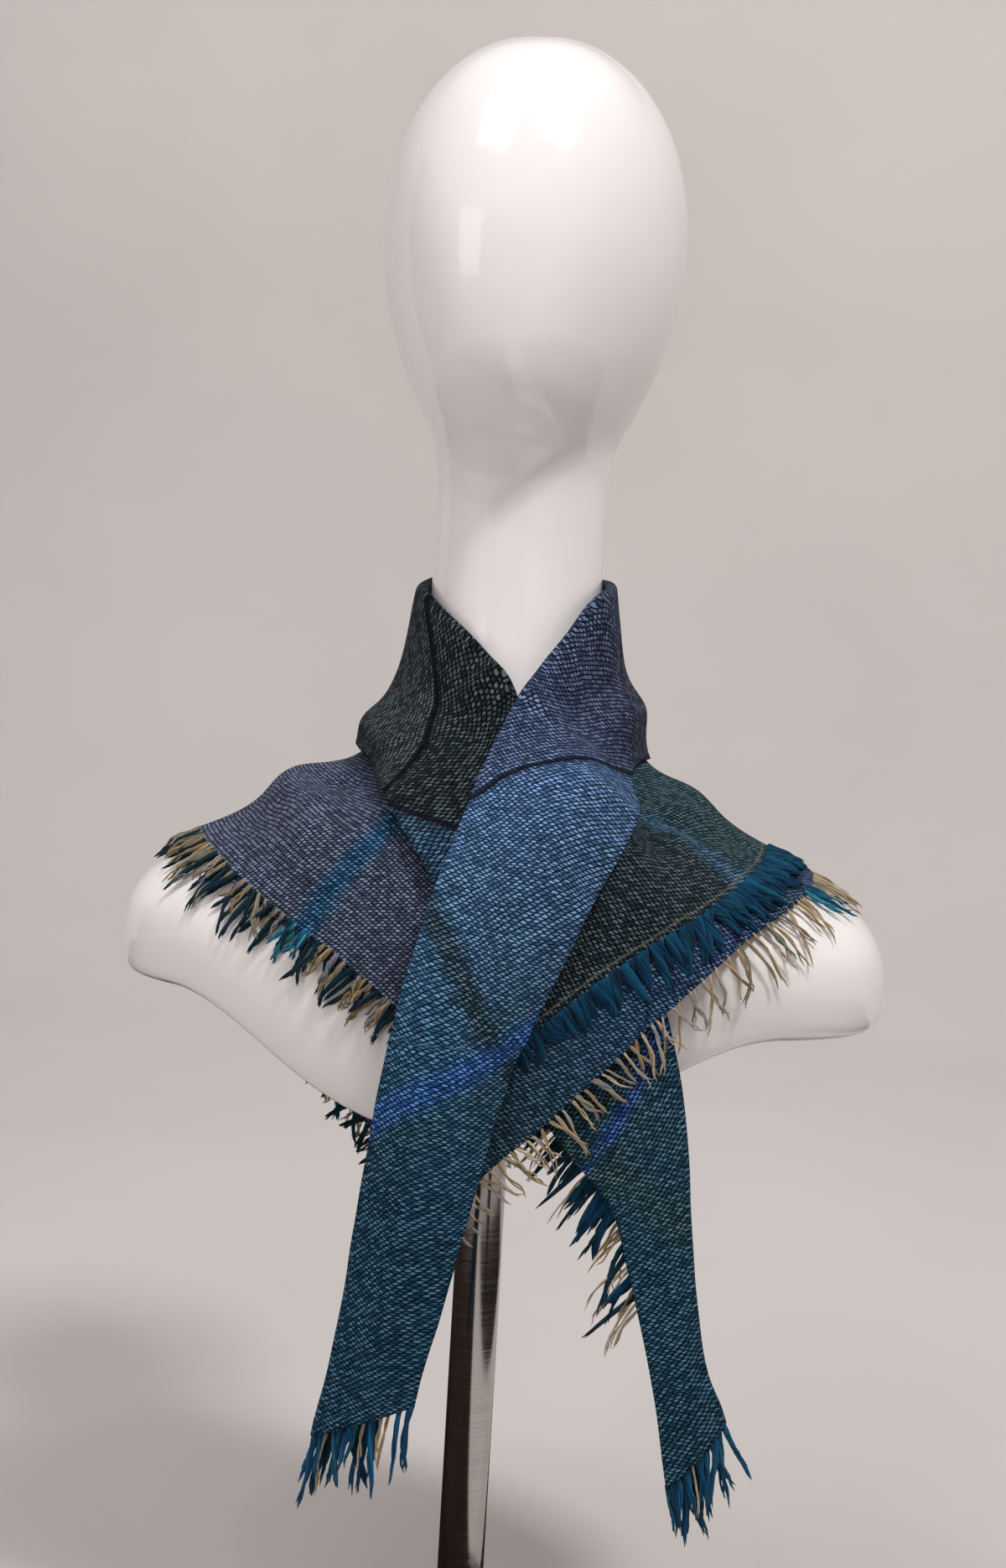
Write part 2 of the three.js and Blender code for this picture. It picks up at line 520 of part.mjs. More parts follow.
// A strip along an edge, given as places on its sheet, with its locks. toward tells which way is off the
// cloth, slant how much the locks follow that way rather than stand square to the edge, and droop how
// much they turn downward.
function makeFringe({ sheet, edge, steps, toward, slant, droop, seed, length }) {
  const edgePoint = (i) => sheet.point(edge(i).u, edge(i).v);
  const frames = count(steps, (t, i) => {
    const place = edge(i);
    const tangent = edgePoint(i + 1).sub(edgePoint(i - 1)).normalize();
    const [a, b] = tangents(sheet, place.u, place.v);
    const off = a.clone().multiplyScalar(toward.u * sheet.stepU).addScaledVector(b, toward.v * sheet.stepV);
    const normal = a.cross(b).normalize();
    const outward = tangent.clone().cross(normal).normalize();
    if (outward.dot(off) < 0) outward.negate();
    const lie = outward.clone().lerp(off.normalize(), slant);
    return { place, point: edgePoint(i), tangent, outward, normal, lie };
  });
  const stripSide = (height) => frames.map(({ point, outward, normal }) => [
    point.clone().addScaledVector(outward, seamGap).addScaledVector(normal, height),
    point.clone().addScaledVector(outward, seamGap + stripWidth).addScaledVector(normal, height),
  ]);
  let body = toManifold(wallSolid(stripSide(plyWall / 2), stripSide(-plyWall / 2)));
  const lengths = frames.map(({ point }, i) => (i > 0 ? point.distanceTo(frames[i - 1].point) : 0));
  const edgeLength = lengths.reduce((sum, part) => sum + part, 0);
  const locks = Math.max(2, Math.round(edgeLength / lockSpacing));
  for (let k = 0; k < locks; k += 1) {
    let rest = edgeLength * (k + 0.5 + lockShift * scatter(seed + k)) / locks;
    let i = 1;
    while (rest > lengths[i] && i < frames.length - 1) {
      rest -= lengths[i];
      i += 1;
    }
    const share = rest / lengths[i];
    const from = frames[i - 1];
    const to = frames[i];
    const outward = from.outward.clone().lerp(to.outward, share).normalize();
    const tangent = from.tangent.clone().lerp(to.tangent, share).normalize();
    const lie = from.lie.clone().lerp(to.lie, share).normalize();
    const place = {
      u: from.place.u + (to.place.u - from.place.u) * share,
      v: from.place.v + (to.place.v - from.place.v) * share,
    };
    const rootDistance = seamGap + stripWidth * 0.45;
    const root = from.point.clone().lerp(to.point, share).addScaledVector(outward, rootDistance);
    const start = walk(sheet, place, outward, rootDistance);
    const heading = lie.multiplyScalar(1 - droop).add(new THREE.Vector3(0, 0, -droop)).normalize();
    const lean = tangent.multiplyScalar(lockLean * scatter(seed + 50 + k));
    const lockLength = length * (1 + lockVariety * scatter(seed + 90 + k));
    body = body.add(toManifold(makeLock(sheet, root, start, heading, lean, lockLength)));
  }
  return toGeometry(body);
}

// Along an edge of the cape, from one step of its grid to another.
function capeFringe(ply, fromStep, toStep, seed) {
  return makeFringe({
    sheet: capeSheet(ply === 'outerEdge' ? plyWall + plyGap : 0),
    edge: (i) => {
      const turn = capeTurn(fromStep + i);
      return { u: turn, v: readTable(capeRows, ply, turn) };
    },
    steps: toStep - fromStep,
    toward: { u: 0, v: 1 },
    slant: 0,
    droop: 0.35,
    seed,
    length: fringeLength,
  });
}

const tipSteps = 4;
const sideSteps = 9;

// The end of the band's upper or lower arm, where its woven edge runs across.
function tipFringe(end, above, acrossFrom, acrossTo, seed) {
  return makeFringe({
    sheet: bandSheet(above),
    edge: (i) => ({ u: end, v: acrossFrom + (acrossTo - acrossFrom) * i / tipSteps }),
    steps: tipSteps,
    toward: { u: end > 0 ? 1 : -1, v: 0 },
    slant: 0.8,
    droop: 0.2,
    seed,
    length: fringeLength * 1.3,
  });
}

// The leg of the square comes out from behind the under end along the edge of its lower arm.
function sideFringe(from, to, seed) {
  return makeFringe({
    sheet: bandSheet(-bandRadius),
    edge: (i) => ({ u: from + (to - from) * i / sideSteps, v: armReach }),
    steps: sideSteps,
    toward: { u: 0, v: 1 },
    slant: 0,
    droop: 0.45,
    seed,
    length: fringeLength * 1.2,
  });
}

const group = new THREE.Group();

function addMesh(name, geometry, color, roughness, metalness) {
  const mesh = new THREE.Mesh(geometry, new THREE.MeshStandardMaterial({ color, roughness, metalness }));
  mesh.name = name;
  group.add(mesh);
}

function addCloth(name, geometry, color) {
  addMesh(name, geometry, color, 0.95, 0);
}

const teal = '#1f4f63';
const beige = '#a08c6c';

addMesh('bust', makeBust(), '#ece8e6', 0.18, 0);
addMesh('pole', makePole(), '#b9b6b3', 0.12, 1);
addMesh('base_plate', makeBasePlate(), '#b9b6b3', 0.15, 1);
addCloth('cape_inner', makeCapePly('innerEdge', 0), '#3b4a5c');
addCloth('cape_outer', makeCapePly('outerEdge', plyWall + plyGap), '#33464f');
addCloth('under_end', makeBand(0, 9.98, 17), '#2c4a63');
addCloth('collar', makeBand(10.02, 21, 24), '#34505f');
addCloth('front_end', makeBand(21.015, 30, 17), '#35557a');
addCloth('fringe_left_inner', capeFringe('innerEdge', 1, 19, 1), teal);
addCloth('fringe_left_outer', capeFringe('outerEdge', 1, 19, 201), beige);
addCloth('fringe_back_inner', capeFringe('innerEdge', 20, 50, 401), teal);
addCloth('fringe_back_outer', capeFringe('outerEdge', 20, 50, 601), beige);
addCloth('fringe_right_inner', capeFringe('innerEdge', 51, 68, 1201), beige);
addCloth('fringe_right_outer', capeFringe('outerEdge', 51, 67, 1401), teal);
addCloth('fringe_under_end_side', sideFringe(3, 6.3, 1601), teal);
addCloth('fringe_under_tip', tipFringe(0, bandRadius, 0.06, 0.98, 1801), teal);
addCloth('fringe_under_tip_back', tipFringe(0, -bandRadius, 0.3, armReach, 2001), beige);
addCloth('fringe_front_tip', tipFringe(30, bandRadius, 0.06, 0.98, 2201), teal);
addCloth('fringe_front_tip_back', tipFringe(30, -bandRadius, 0.08, 0.5, 2401), beige);

export default group;
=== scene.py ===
import math
import bmesh
import bpy
import numpy as np
from mathutils import Matrix, Vector, noise


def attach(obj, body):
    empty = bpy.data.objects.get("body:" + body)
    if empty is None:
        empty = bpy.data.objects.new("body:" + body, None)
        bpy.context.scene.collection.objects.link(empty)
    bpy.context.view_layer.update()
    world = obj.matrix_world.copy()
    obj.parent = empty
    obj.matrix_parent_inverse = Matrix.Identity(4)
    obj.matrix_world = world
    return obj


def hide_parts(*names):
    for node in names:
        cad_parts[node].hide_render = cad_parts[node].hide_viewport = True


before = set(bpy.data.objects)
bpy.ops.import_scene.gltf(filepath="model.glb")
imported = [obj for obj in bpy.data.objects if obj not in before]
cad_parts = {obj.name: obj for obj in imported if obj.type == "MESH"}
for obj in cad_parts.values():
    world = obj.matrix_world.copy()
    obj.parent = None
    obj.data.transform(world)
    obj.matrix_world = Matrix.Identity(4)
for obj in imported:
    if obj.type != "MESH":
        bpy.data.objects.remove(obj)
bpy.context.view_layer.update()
scene = bpy.context.scene
scene.view_settings.view_transform = "Standard"
mm = 0.001
print("frame loaded")

# camera: a little to the right of the bust's middle, held slightly crooked, as the picture was taken
cameraView = {"place": (0.1891, -0.9799, 0.5728), "azimuth": 11, "down": 3.6, "roll": 3.3,
              "lens": 43.3, "sensor": 36}


def addObject(name, data):
    piece = bpy.data.objects.new(name, data)
    scene.collection.objects.link(piece)
    return piece


def addCamera(view):
    azimuth, down, roll = (math.radians(view[key]) for key in ("azimuth", "down", "roll"))
    level = math.cos(down)
    forward = Vector((-math.sin(azimuth) * level, math.cos(azimuth) * level, -math.sin(down)))
    right = Vector((math.cos(azimuth), math.sin(azimuth), 0))
    up = right.cross(forward)
    turnedRight = right * math.cos(roll) + up * math.sin(roll)
    turnedUp = up * math.cos(roll) - right * math.sin(roll)
    axes = Matrix((turnedRight, turnedUp, -forward)).transposed()
    camera = addObject("camera", bpy.data.cameras.new("camera"))
    camera.data.lens = view["lens"]
    camera.data.sensor_width = view["sensor"]
    camera.matrix_world = Matrix.Translation(view["place"]) @ axes.to_4x4()
    scene.camera = camera


addCamera(cameraView)
print("camera placed")

# the bust's rings from its lower lip over shoulders, neck and head, in mm
# ring, height over the datum at the sides, front and back, half width, depth to front and back, squareness
bustRings = [
    (0, 370, 311, 318, 199, 92, 74, 2.5),
    (1, 376, 318, 325, 202.5, 97, 79, 2.5),
    (2, 392, 348, 352, 203.5, 103, 84, 2.45),
    (3, 408, 384, 386, 200, 105, 87, 2.4),
    (4, 422, 418, 418, 191, 101, 88, 2.3),
    (5, 436, 446, 446, 175, 92, 86, 2.2),
    (6, 448, 468, 470, 150, 81, 81, 2.1),
    (7, 460, 486, 490, 120, 70, 75, 2),
    (8, 475, 502, 508, 92, 61, 69, 2),
    (9, 494, 519, 526, 70, 54, 63, 2),
    (10, 520, 540, 545, 54.5, 49, 58, 2),
    (11, 556, 564, 566, 46.5, 46, 54, 2),
    (12, 600, 602, 602, 44.3, 46, 52, 2),
    (13, 634, 636, 632, 44.6, 48, 53, 2),
    (14, 650, 653, 648, 46, 56, 56, 2),
    (15, 661, 664, 662, 48.5, 70, 62, 2),
    (16, 678, 678, 680, 57, 83, 74, 2),
    (17, 702, 700, 702, 67.5, 91, 87, 2),
    (18, 730, 728, 730, 75, 95, 97, 2),
    (19, 759, 757, 759, 77.8, 95, 101, 2),
    (20, 790, 788, 790, 75.5, 89, 98, 2),
    (21, 818, 816, 818, 67, 78, 87, 2),
    (22, 841, 839, 841, 52, 60, 66, 2),
    (23, 856, 855, 856, 33, 38, 41, 2),
    (24, 862.5, 862.5, 862.5, 13, 15, 16, 2),
]
# mm, but dipReach, edgeIn, wallIn and crownShares are shares, and the two rings are given by their number
bustSize = {
    "datum": 30, "headTop": 894, "dipReach": 0.75, "seatHeight": 380, "seatRadius": 20, "neckRing": 12.4,
    "hangRing": 2.5, "sides": 128, "edgeIn": 0.012, "edgeDrop": 0.4, "wallIn": 0.06, "wallRise": 1.5,
    "crownShares": (0.72, 0.42, 0.16),
}


def readTable(rows, column, place):
    # smooth curve through one column of a table, read at many places at once
    table = np.array(rows, float)
    at, value = table[:, 0], table[:, column]
    place = np.clip(np.asarray(place, float), at[0], at[-1])
    k = np.clip(np.searchsorted(at, place, side="right") - 1, 0, len(at) - 2)
    before, after = np.maximum(np.arange(len(at)) - 1, 0), np.minimum(np.arange(len(at)) + 1, len(at) - 1)
    slope = (value[after] - value[before]) / (at[after] - at[before])
    width = at[k + 1] - at[k]
    t = (place - at[k]) / width
    return (value[k] + (value[k + 1] - value[k]) * t * t * (3 - 2 * t)
            + slope[k] * width * t * (1 - t) ** 2 - slope[k + 1] * width * t * t * (1 - t))


def bustPoint(turn, level):
    # turn in degrees round the bust: 0 front, 90 the shoulder at -X, 180 back, 270 the shoulder at +X
    side, front, back, halfWidth, frontDepth, backDepth, square = (
        readTable(bustRings, column, level) for column in range(1, 8))
    sine, cosine = -np.sin(np.radians(turn)), np.cos(np.radians(turn))
    facing = cosine > 0
    dip = 0.5 + 0.5 * np.cos(np.pi * np.minimum(1, np.abs(sine) / bustSize["dipReach"]))
    power = 2 / square
    middle = np.where(facing, front, back)
    return np.stack([
        halfWidth * np.sign(sine) * np.abs(sine) ** power,
        -np.where(facing, frontDepth, backDepth) * np.sign(cosine) * np.abs(cosine) ** power,
        bustSize["datum"] + side + (middle - side) * dip,
    ], -1)


def unit(vectors):
    return vectors / np.maximum(np.linalg.norm(vectors, axis=-1, keepdims=True), 1e-9)


# the cloth's own measure: turn round the bust, drop down its surface from the upper neck, lift off it
# one column of points and normals for each degree, one row for each 2 mm of drop; below the fullest
# ring the cloth hangs straight down
dropStep, dropRows, bodyLevels = 2, 320, 120


def lengthAlong(points):
    # how far along its line each point is
    return np.concatenate([[0], np.cumsum(np.linalg.norm(np.diff(points, axis=0), axis=1))])


def measureBody():
    turns = np.arange(0, 361)
    levels = np.linspace(bustSize["neckRing"], bustSize["hangRing"], bodyLevels)
    turnGrid, levelGrid = np.meshgrid(turns, levels, indexing="ij")
    skin = bustPoint(turnGrid, levelGrid)
    around = bustPoint(turnGrid + 1, levelGrid) - bustPoint(turnGrid - 1, levelGrid)
    downward = bustPoint(turnGrid, levelGrid - 0.1) - bustPoint(turnGrid, levelGrid + 0.1)
    normals = unit(np.cross(around, downward))
    points, outward = np.zeros((361, dropRows, 3)), np.zeros((361, dropRows, 3))
    drops = np.arange(dropRows) * dropStep
    for i in turns:
        lengths = lengthAlong(skin[i])
        for axis in range(3):
            points[i, :, axis] = np.interp(drops, lengths, skin[i, :, axis])
            outward[i, :, axis] = np.interp(drops, lengths, normals[i, :, axis])
        hanging = drops > lengths[-1]
        points[i, hanging, 2] -= drops[hanging] - lengths[-1]
        outward[i, hanging] = unit(normals[i, -1] * np.array([1, 1, 0]))
    return points, unit(outward)


bodyPoints, bodyNormals = measureBody()


def bodyPoint(turn, drop, lift):
    # a point of the cloth, in mm, for arrays of turn, drop and lift
    turn, drop, lift = np.broadcast_arrays(np.asarray(turn, float) % 360, np.asarray(drop, float), lift)
    i = np.clip(turn.astype(int), 0, 359)
    j = np.clip((drop / dropStep).astype(int), 0, dropRows - 2)
    s, t = (turn - i)[..., None], (drop / dropStep - j)[..., None]

    def read(grid):
        return ((grid[i, j] * (1 - s) + grid[i + 1, j] * s) * (1 - t)
                + (grid[i, j + 1] * (1 - s) + grid[i + 1, j + 1] * s) * t)

    return read(bodyPoints) + unit(read(bodyNormals)) * lift[..., None]


# cape: turn, top, edge of the upper layer, edge of the lower layer, lift under both, in degrees and mm
capeRows = [
    (-12, 160, 292, 296, 1.3),
    (0, 165, 264, 268, 1.3),
    (12, 150, 240, 244, 1.3),
    (24, 140, 232, 236, 1.3),
    (45, 127, 231, 235, 1.3),
    (70, 120, 232, 236, 1.2),
    (90, 118, 237, 241, 1.1),
    (105, 118, 244, 248, 1.3),
    (120, 118, 264, 268, 1.9),
    (135, 121, 300, 304, 2),
    (150, 126, 339, 344, 2),
    (161, 126, 367, 373, 2),
    (169.5, 126, 382, 390, 2),
    (176, 126, 348, 358, 2),
    (184, 126, 301, 312, 2),
    (193, 126, 264, 276, 2),
    (205, 126, 242, 254, 2),
    (225, 121, 228, 243, 2),
    (250, 119, 213, 236, 1.3),
    (270, 118, 208, 235, 1.1),
    (290, 122, 214, 240, 1.3),
    (310, 132, 225, 247, 2.2),
    (325, 148, 233, 254, 7),
    (335, 168, 236, 264, 13),
    (343, 190, 243, 284, 16),
    (350, 214, 256, 306, 16.3),
    (356, 230, 270, 328, 16.3),
    (362, 242, 286, 366, 16.3),
]
capeTop, capeUpperEdge, capeLowerEdge, capeLift = 1, 2, 3, 4
# mm and degrees; tuck is how much further the cape reaches up under the collar at the sides, and chartRise
# how far up from the edge its lean is read
capeSize = {
    "layer": 1.3, "gap": 0.8, "tuck": 9, "apexTurn": 169.5, "apexReach": 9, "leanReach": 14, "chartRise": 12,
    "columns": 330, "upperRows": 84, "lowerRows": 56,
}
upperAbove = capeSize["layer"] * 1.5 + capeSize["gap"]  # middle of each layer over the body's measure
lowerAbove = capeSize["layer"] / 2

# folds of the cape: turn and drop of the crest, reach in degrees, length and height in mm, degrees of lean
# for each mm down
capeFolds = [
    (84, 174, 36, 25, 13, 0),
    (272, 160, 36, 20, 8, 0),
    (40, 190, 9, 60, 3, 0),
    (128, 250, 9, 90, 5, 0),
    (152, 260, 8, 90, 4, 0),
    (178, 230, 8, 80, 5, 0),
    (206, 190, 9, 60, 4, 0),
    (236, 190, 10, 50, 4, 0),
    (306, 190, 9, 50, 3, 0),
]
# smaller ridges and creases, in the same measures
capeCreases = [
    (48, 180, 20, 14, 9.0, 0.0),
    (46, 158, 11, 9, -4.5, 0.5),
    (30, 193, 9, 16, 7.5, 0.0),
    (298, 174, 14, 14, 6.0, 0.0),
    (318, 194, 8, 15, 5.0, 0.0),
    (20, 196, 4, 42, 1.8, 0.16),
    (31, 185, 3.2, 38, -1.4, 0.14),
    (58, 182, 5, 40, 1.6, 0.05),
    (70, 205, 4, 24, -1.2, -0.06),
    (101, 190, 5, 34, 1.5, -0.08),
    (116, 215, 4, 46, -1.6, -0.05),
    (140, 262, 3.4, 70, 1.8, 0.03),
    (164, 276, 3, 74, -1.8, 0.0),
    (190, 210, 3.6, 50, 1.7, -0.03),
    (219, 190, 4.5, 34, -1.5, 0.05),
    (252, 176, 5, 28, 1.4, 0.08),
    (287, 182, 4.4, 26, -1.3, 0.1),
    (318, 192, 3, 32, 1.6, 0.14),
    (329, 205, 2.6, 30, -1.2, 0.16),
]


def capeFoldLift(turn, drop):
    lift = np.zeros(np.broadcast(turn, drop).shape)
    for crest, low, reach, length, height, lean in capeFolds + capeCreases:
        middle = crest + (drop - low) * lean
        lift = lift + height * np.exp(-((turn - middle) / reach) ** 2 - ((drop - low) / length) ** 2)
    return lift


def capePoint(turn, drop, above):
    return bodyPoint(turn, drop, readTable(capeRows, capeLift, turn) + capeFoldLift(turn, drop) + above)


# band: place, turn and drop of the folded edge, turn and drop of the free edge, lift at both
# 0 to 10 is the end underneath, 10 to 21 the collar, 21 to 30 the end in front; beyond is for fringe only
bandRows = [
    (-2, -46, 560, -38, 588, 6, 6),
    (-1, -42.6, 518, -33.9, 545, 6, 6),
    (0, -39.5, 480, -30.2, 500, 6, 6),
    (1, -35.9, 452, -27.6, 455, 6, 6),
    (2, -33.5, 421, -24.9, 417, 6, 6),
    (3, -31.8, 386, -22.3, 384, 6, 6),
    (4, -30.6, 350, -19.4, 352, 6, 6),
    (5, -28.8, 310, -13.6, 322, 6, 7),
    (6, -26.4, 278, -8.6, 294, 6.2, 8.4),
    (7, -22.6, 232, -3.2, 258, 7, 9.8),
    (8, -18.4, 180, -1, 218, 8.6, 9.8),
    (9, -14.5, 130, 5, 184, 8.2, 9.8),
    (10, -10, 88, 18, 157, 7.2, 9.6),
    (11, 3, 70, 36, 141, 5.6, 8.6),
    (12, 26, 53, 55, 133, 4.6, 7.2),
    (13, 55, 39, 75, 130, 4.6, 6.4),
    (14, 90, 31, 100, 130, 4.6, 6.6),
    (15, 130, 24, 135, 130, 4.8, 8.8),
    (16, 180, 21, 180, 131, 5, 9.8),
    (17, 230, 24, 225, 130, 4.8, 7.8),
    (18, 268, 29, 260, 127, 4.6, 5.6),
    (19, 298, 38, 285, 127, 5.5, 5.4),
    (20, 320, 55, 303, 137, 10, 8),
    (21, 338, 76, 318, 160, 15, 15),
    (22, 350, 97, 331, 182, 18, 22),
    (23, 357, 134, 341, 206, 20, 24.6),
    (24, 360.5, 180, 346.8, 230, 22, 24.8),
    (25, 362.6, 228, 351.8, 260, 23.5, 24.3),
    (26, 364.3, 276, 354.2, 290, 24, 24.3),
    (27, 366, 334, 356.3, 332, 24, 24),
    (28, 367.3, 388, 358.2, 377, 24, 23),
    (29, 368.9, 434, 359.6, 415, 24, 23),
    (30, 370.4, 464, 360.2, 438, 24, 23),
    (31, 371.6, 506, 361, 478, 24, 23),
    (32, 372.8, 548, 361.8, 518, 24, 23),
]
# wall in mm, armReach is how far across the under arm goes, and the rest count its steps
bandSize = {"wall": 2.0, "armReach": 0.8, "steps": 460, "upper": 30, "fold": 9, "lower": 14}
bandRadius = 2.2  # mm, of the folded edge's bend, so each arm lies this far from the band's middle
# how far the upper arm swells between its two edges: place, mm; little where the cape lies over it
bandPuff = [(0, 2.5), (3, 3.0), (4.4, 1.6), (6, 1.0), (9.4, 1.2), (12, 3.5), (16, 3), (20, 4.5), (24, 6.5),
            (27, 6), (30, 3)]

# soft troughs and ridges of the band: place, across, reach in places, width across, height, lean
bandCreases = [
    (12.1, 0.84, 1.6, 0.15, 9.0, 0.0),
    (12.4, 0.40, 1.7, 0.24, -2.4, 0.02),
    (10.4, 0.40, 1.5, 0.11, -3.4, 0.01),
    (15.2, 0.55, 1.5, 0.15, 1.8, -0.05),
    (16.8, 0.45, 1.4, 0.16, -1.6, 0.06),
    (18.8, 0.70, 1.5, 0.17, 8.5, 0.0),
    (18.6, 1.00, 1.6, 0.10, -1.8, 0.0),
    (19.4, 0.42, 1.4, 0.24, -2.2, 0.0),
    (20.8, 0.40, 1.3, 0.14, -2.2, -0.10),
    (22.4, 0.62, 1.2, 0.20, 2.4, 0.08),
    (23.9, 0.32, 1.6, 0.14, -2.0, 0.10),
    (25.2, 0.70, 1.6, 0.14, 2.2, 0.06),
    (25.0, 1.00, 3.4, 0.16, -2.6, 0.0),
    (26.6, 0.38, 1.5, 0.15, -1.8, -0.04),
    (28.2, 0.62, 1.4, 0.18, 2.0, 0.05),
    (29.3, 0.35, 0.9, 0.15, -1.6, 0.05),
    (2.8, 0.62, 1.1, 0.16, -1.8, -0.05),
    (1.2, 0.38, 1.0, 0.16, 1.6, 0.0),
]


def bandEdge(place, across, above):
    foldTurn, foldDrop, freeTurn, freeDrop, foldLift, freeLift = (
        readTable(bandRows, column, place) for column in range(1, 7))
    return bodyPoint(foldTurn + (freeTurn - foldTurn) * across, foldDrop + (freeDrop - foldDrop) * across,
                     foldLift + (freeLift - foldLift) * across + above)


def bandCreaseLift(place, across):
    lift = np.zeros(np.broadcast(place, across).shape)
    for middle, line, reach, width, height, lean in bandCreases:
        offset = across - line - (place - middle) * lean
        lift = lift + height * np.exp(-((place - middle) / reach) ** 2 - (offset / width) ** 2)
    return lift


def bandChart(places):
    # how the band lies flat: along it at its middle line, how much each section slants, and its width
    fold, free = bandEdge(places, 0.0, 0.0), bandEdge(places, 1.0, 0.0)
    middle = (fold + free) / 2
    along = lengthAlong(middle)
    tangent = unit(np.gradient(middle, axis=0))
    section = free - fold
    slant = (section * tangent).sum(-1)
    width = np.sqrt(np.maximum((section ** 2).sum(-1) - slant ** 2, 1))
    return along, slant, width


def bandGrid(size):
    # rows along the band, columns over the upper arm, round the fold and back underneath
    places = np.linspace(0, 30, size["steps"] + 1)
    along, slant, width = bandChart(places)
    start = bandRadius / np.linalg.norm(bandEdge(places, 1.0, 0.0) - bandEdge(places, 0.0, 0.0), axis=1)
    columns, flat = [], []
    for t in np.linspace(0, 1, size["upper"] + 1):
        across = 1 + (start - 1) * t
        swell = readTable(bandPuff, 1, places) * np.sin(np.pi * across) + bandCreaseLift(places, across)
        columns.append(bandEdge(places, across, bandRadius + swell))
        flat.append((along + (across - 0.5) * slant, across * width))
    for angle in np.radians(np.linspace(90, -90, size["fold"] + 2)[1:-1]):
        across = start * (1 - math.cos(angle))
        columns.append(bandEdge(places, across, bandRadius * math.sin(angle)))
        flat.append((along - 0.5 * slant, start * width * math.sin(angle)))
    for t in np.linspace(0, 1, size["lower"] + 1):
        across = start + (size["armReach"] - start) * t
        columns.append(bandEdge(places, across, -bandRadius))
        flat.append((along + (across - 0.5) * slant, -across * width))
    return np.stack(columns, 1), np.stack([np.stack(pair, -1) for pair in flat], 1)


def capeChart(turns, edgeColumn):
    # how the cape lies flat along its fringed edge: place along the edge and lean of each line up from it
    edge = readTable(capeRows, edgeColumn, turns)
    rim, above = capePoint(turns, edge, 0.0), capePoint(turns, edge - capeSize["chartRise"], 0.0)
    along = lengthAlong(rim)
    lean = np.arcsin(np.clip((unit(np.gradient(rim, axis=0)) * unit(above - rim)).sum(-1), -0.9, 0.9))
    # evened out over a few degrees, so that small creases don't pinch the weave
    weight = np.exp(-((turns[:, None] - turns) / capeSize["leanReach"]) ** 2)
    lean = (weight * lean).sum(1) / weight.sum(1)
    apex = capeSize["apexTurn"]
    corner = np.interp(apex, turns, along)
    near = np.exp(-((turns - apex) / capeSize["apexReach"]) ** 2)
    before = turns < apex
    lean = lean * (1 - near) + near * np.radians(np.where(before, -45, 45))
    return edge, along - corner, lean, before


def capeFlat(turns, drops, edgeColumn):
    edge, along, lean, before = capeChart(turns, edgeColumn)
    rise = edge[:, None] - drops
    x = along[:, None] + rise * np.sin(lean)[:, None]
    y = rise * np.cos(lean)[:, None]
    # the second leg of the square turns a right angle at the point
    return np.where(before[:, None, None], np.stack([x, y], -1), np.stack([-y, x], -1))


print("cloth measured")


def linear(hexColour):
    # sRGB hex to the linear values that the shaders take
    values = [int(hexColour[i:i + 2], 16) / 255 for i in (1, 3, 5)]
    return tuple(v / 12.92 if v <= 0.04045 else ((v + 0.055) / 1.055) ** 2.4 for v in values) + (1.0,)


def plug(tree, socket, value):
    # an input takes a plain value or the output that feeds it
    if isinstance(value, bpy.types.NodeSocket):
        tree.links.new(value, socket)
    else:
        socket.default_value = value


def addNode(tree, kind, settings):
    # settings are the node's own or its inputs, by name or number
    node = tree.nodes.new("ShaderNode" + kind)
    for key, value in settings.items():
        if isinstance(key, int) or key in node.inputs:
            plug(tree, node.inputs[key], value)
        else:
            setattr(node, key, value)
    return node


def noiseNode(tree, place, scale, detail, output="Fac", **more):
    node = addNode(tree, "TexNoise", {"Vector": place, "Scale": scale, "Detail": detail, **more})
    return node.outputs[output]


def rangeNode(tree, value, fromMin, fromMax, toMin, toMax, kind="LINEAR"):
    return addNode(tree, "MapRange", {
        "interpolation_type": kind, "Value": value, "From Min": fromMin, "From Max": fromMax,
        "To Min": toMin, "To Max": toMax}).outputs["Result"]


def rampNode(tree, value, stops):
    # stops are (place from 0 to 1, hex)
    ramp = addNode(tree, "ValToRGB", {"Fac": value})
    elements = ramp.color_ramp.elements
    while len(elements) > 1:
        elements.remove(elements[-1])
    elements[0].position, elements[0].color = stops[0][0], linear(stops[0][1])
    for place, hexColour in stops[1:]:
        element = elements.new(place)
        element.color = linear(hexColour)
    return ramp.outputs["Color"]


def mixNode(tree, factor, under, over):
    return addNode(tree, "Mix", {"data_type": "RGBA", "Factor": factor, 6: under, 7: over}).outputs[2]


def mathNode(tree, operation, *values):
    return addNode(tree, "Math", {"operation": operation, **dict(enumerate(values))}).outputs[0]


def scaleNode(tree, colour, amount):
    return addNode(tree, "VectorMath", {"operation": "SCALE", 0: colour, "Scale": amount}).outputs["Vector"]


def shiftNode(tree, place, noiseColour, amount):
    # a place moved by a noise's colour, as far as the amount in metres
    return addNode(tree, "VectorMath", {
        "operation": "MULTIPLY_ADD", 0: noiseColour, 1: (amount, amount, 0), 2: place}).outputs["Vector"]


def bumpNode(tree, height, strength, distance):
    return addNode(tree, "Bump", {
        "Height": height, "Strength": strength, "Distance": distance}).outputs["Normal"]


def newMaterial(name):
    material = bpy.data.materials.new(name)
    material.use_nodes = True
    return material, material.node_tree


def fillShader(tree, settings):
    shader = tree.nodes["Principled BSDF"]
    for key, value in settings.items():
        plug(tree, shader.inputs[key], value)


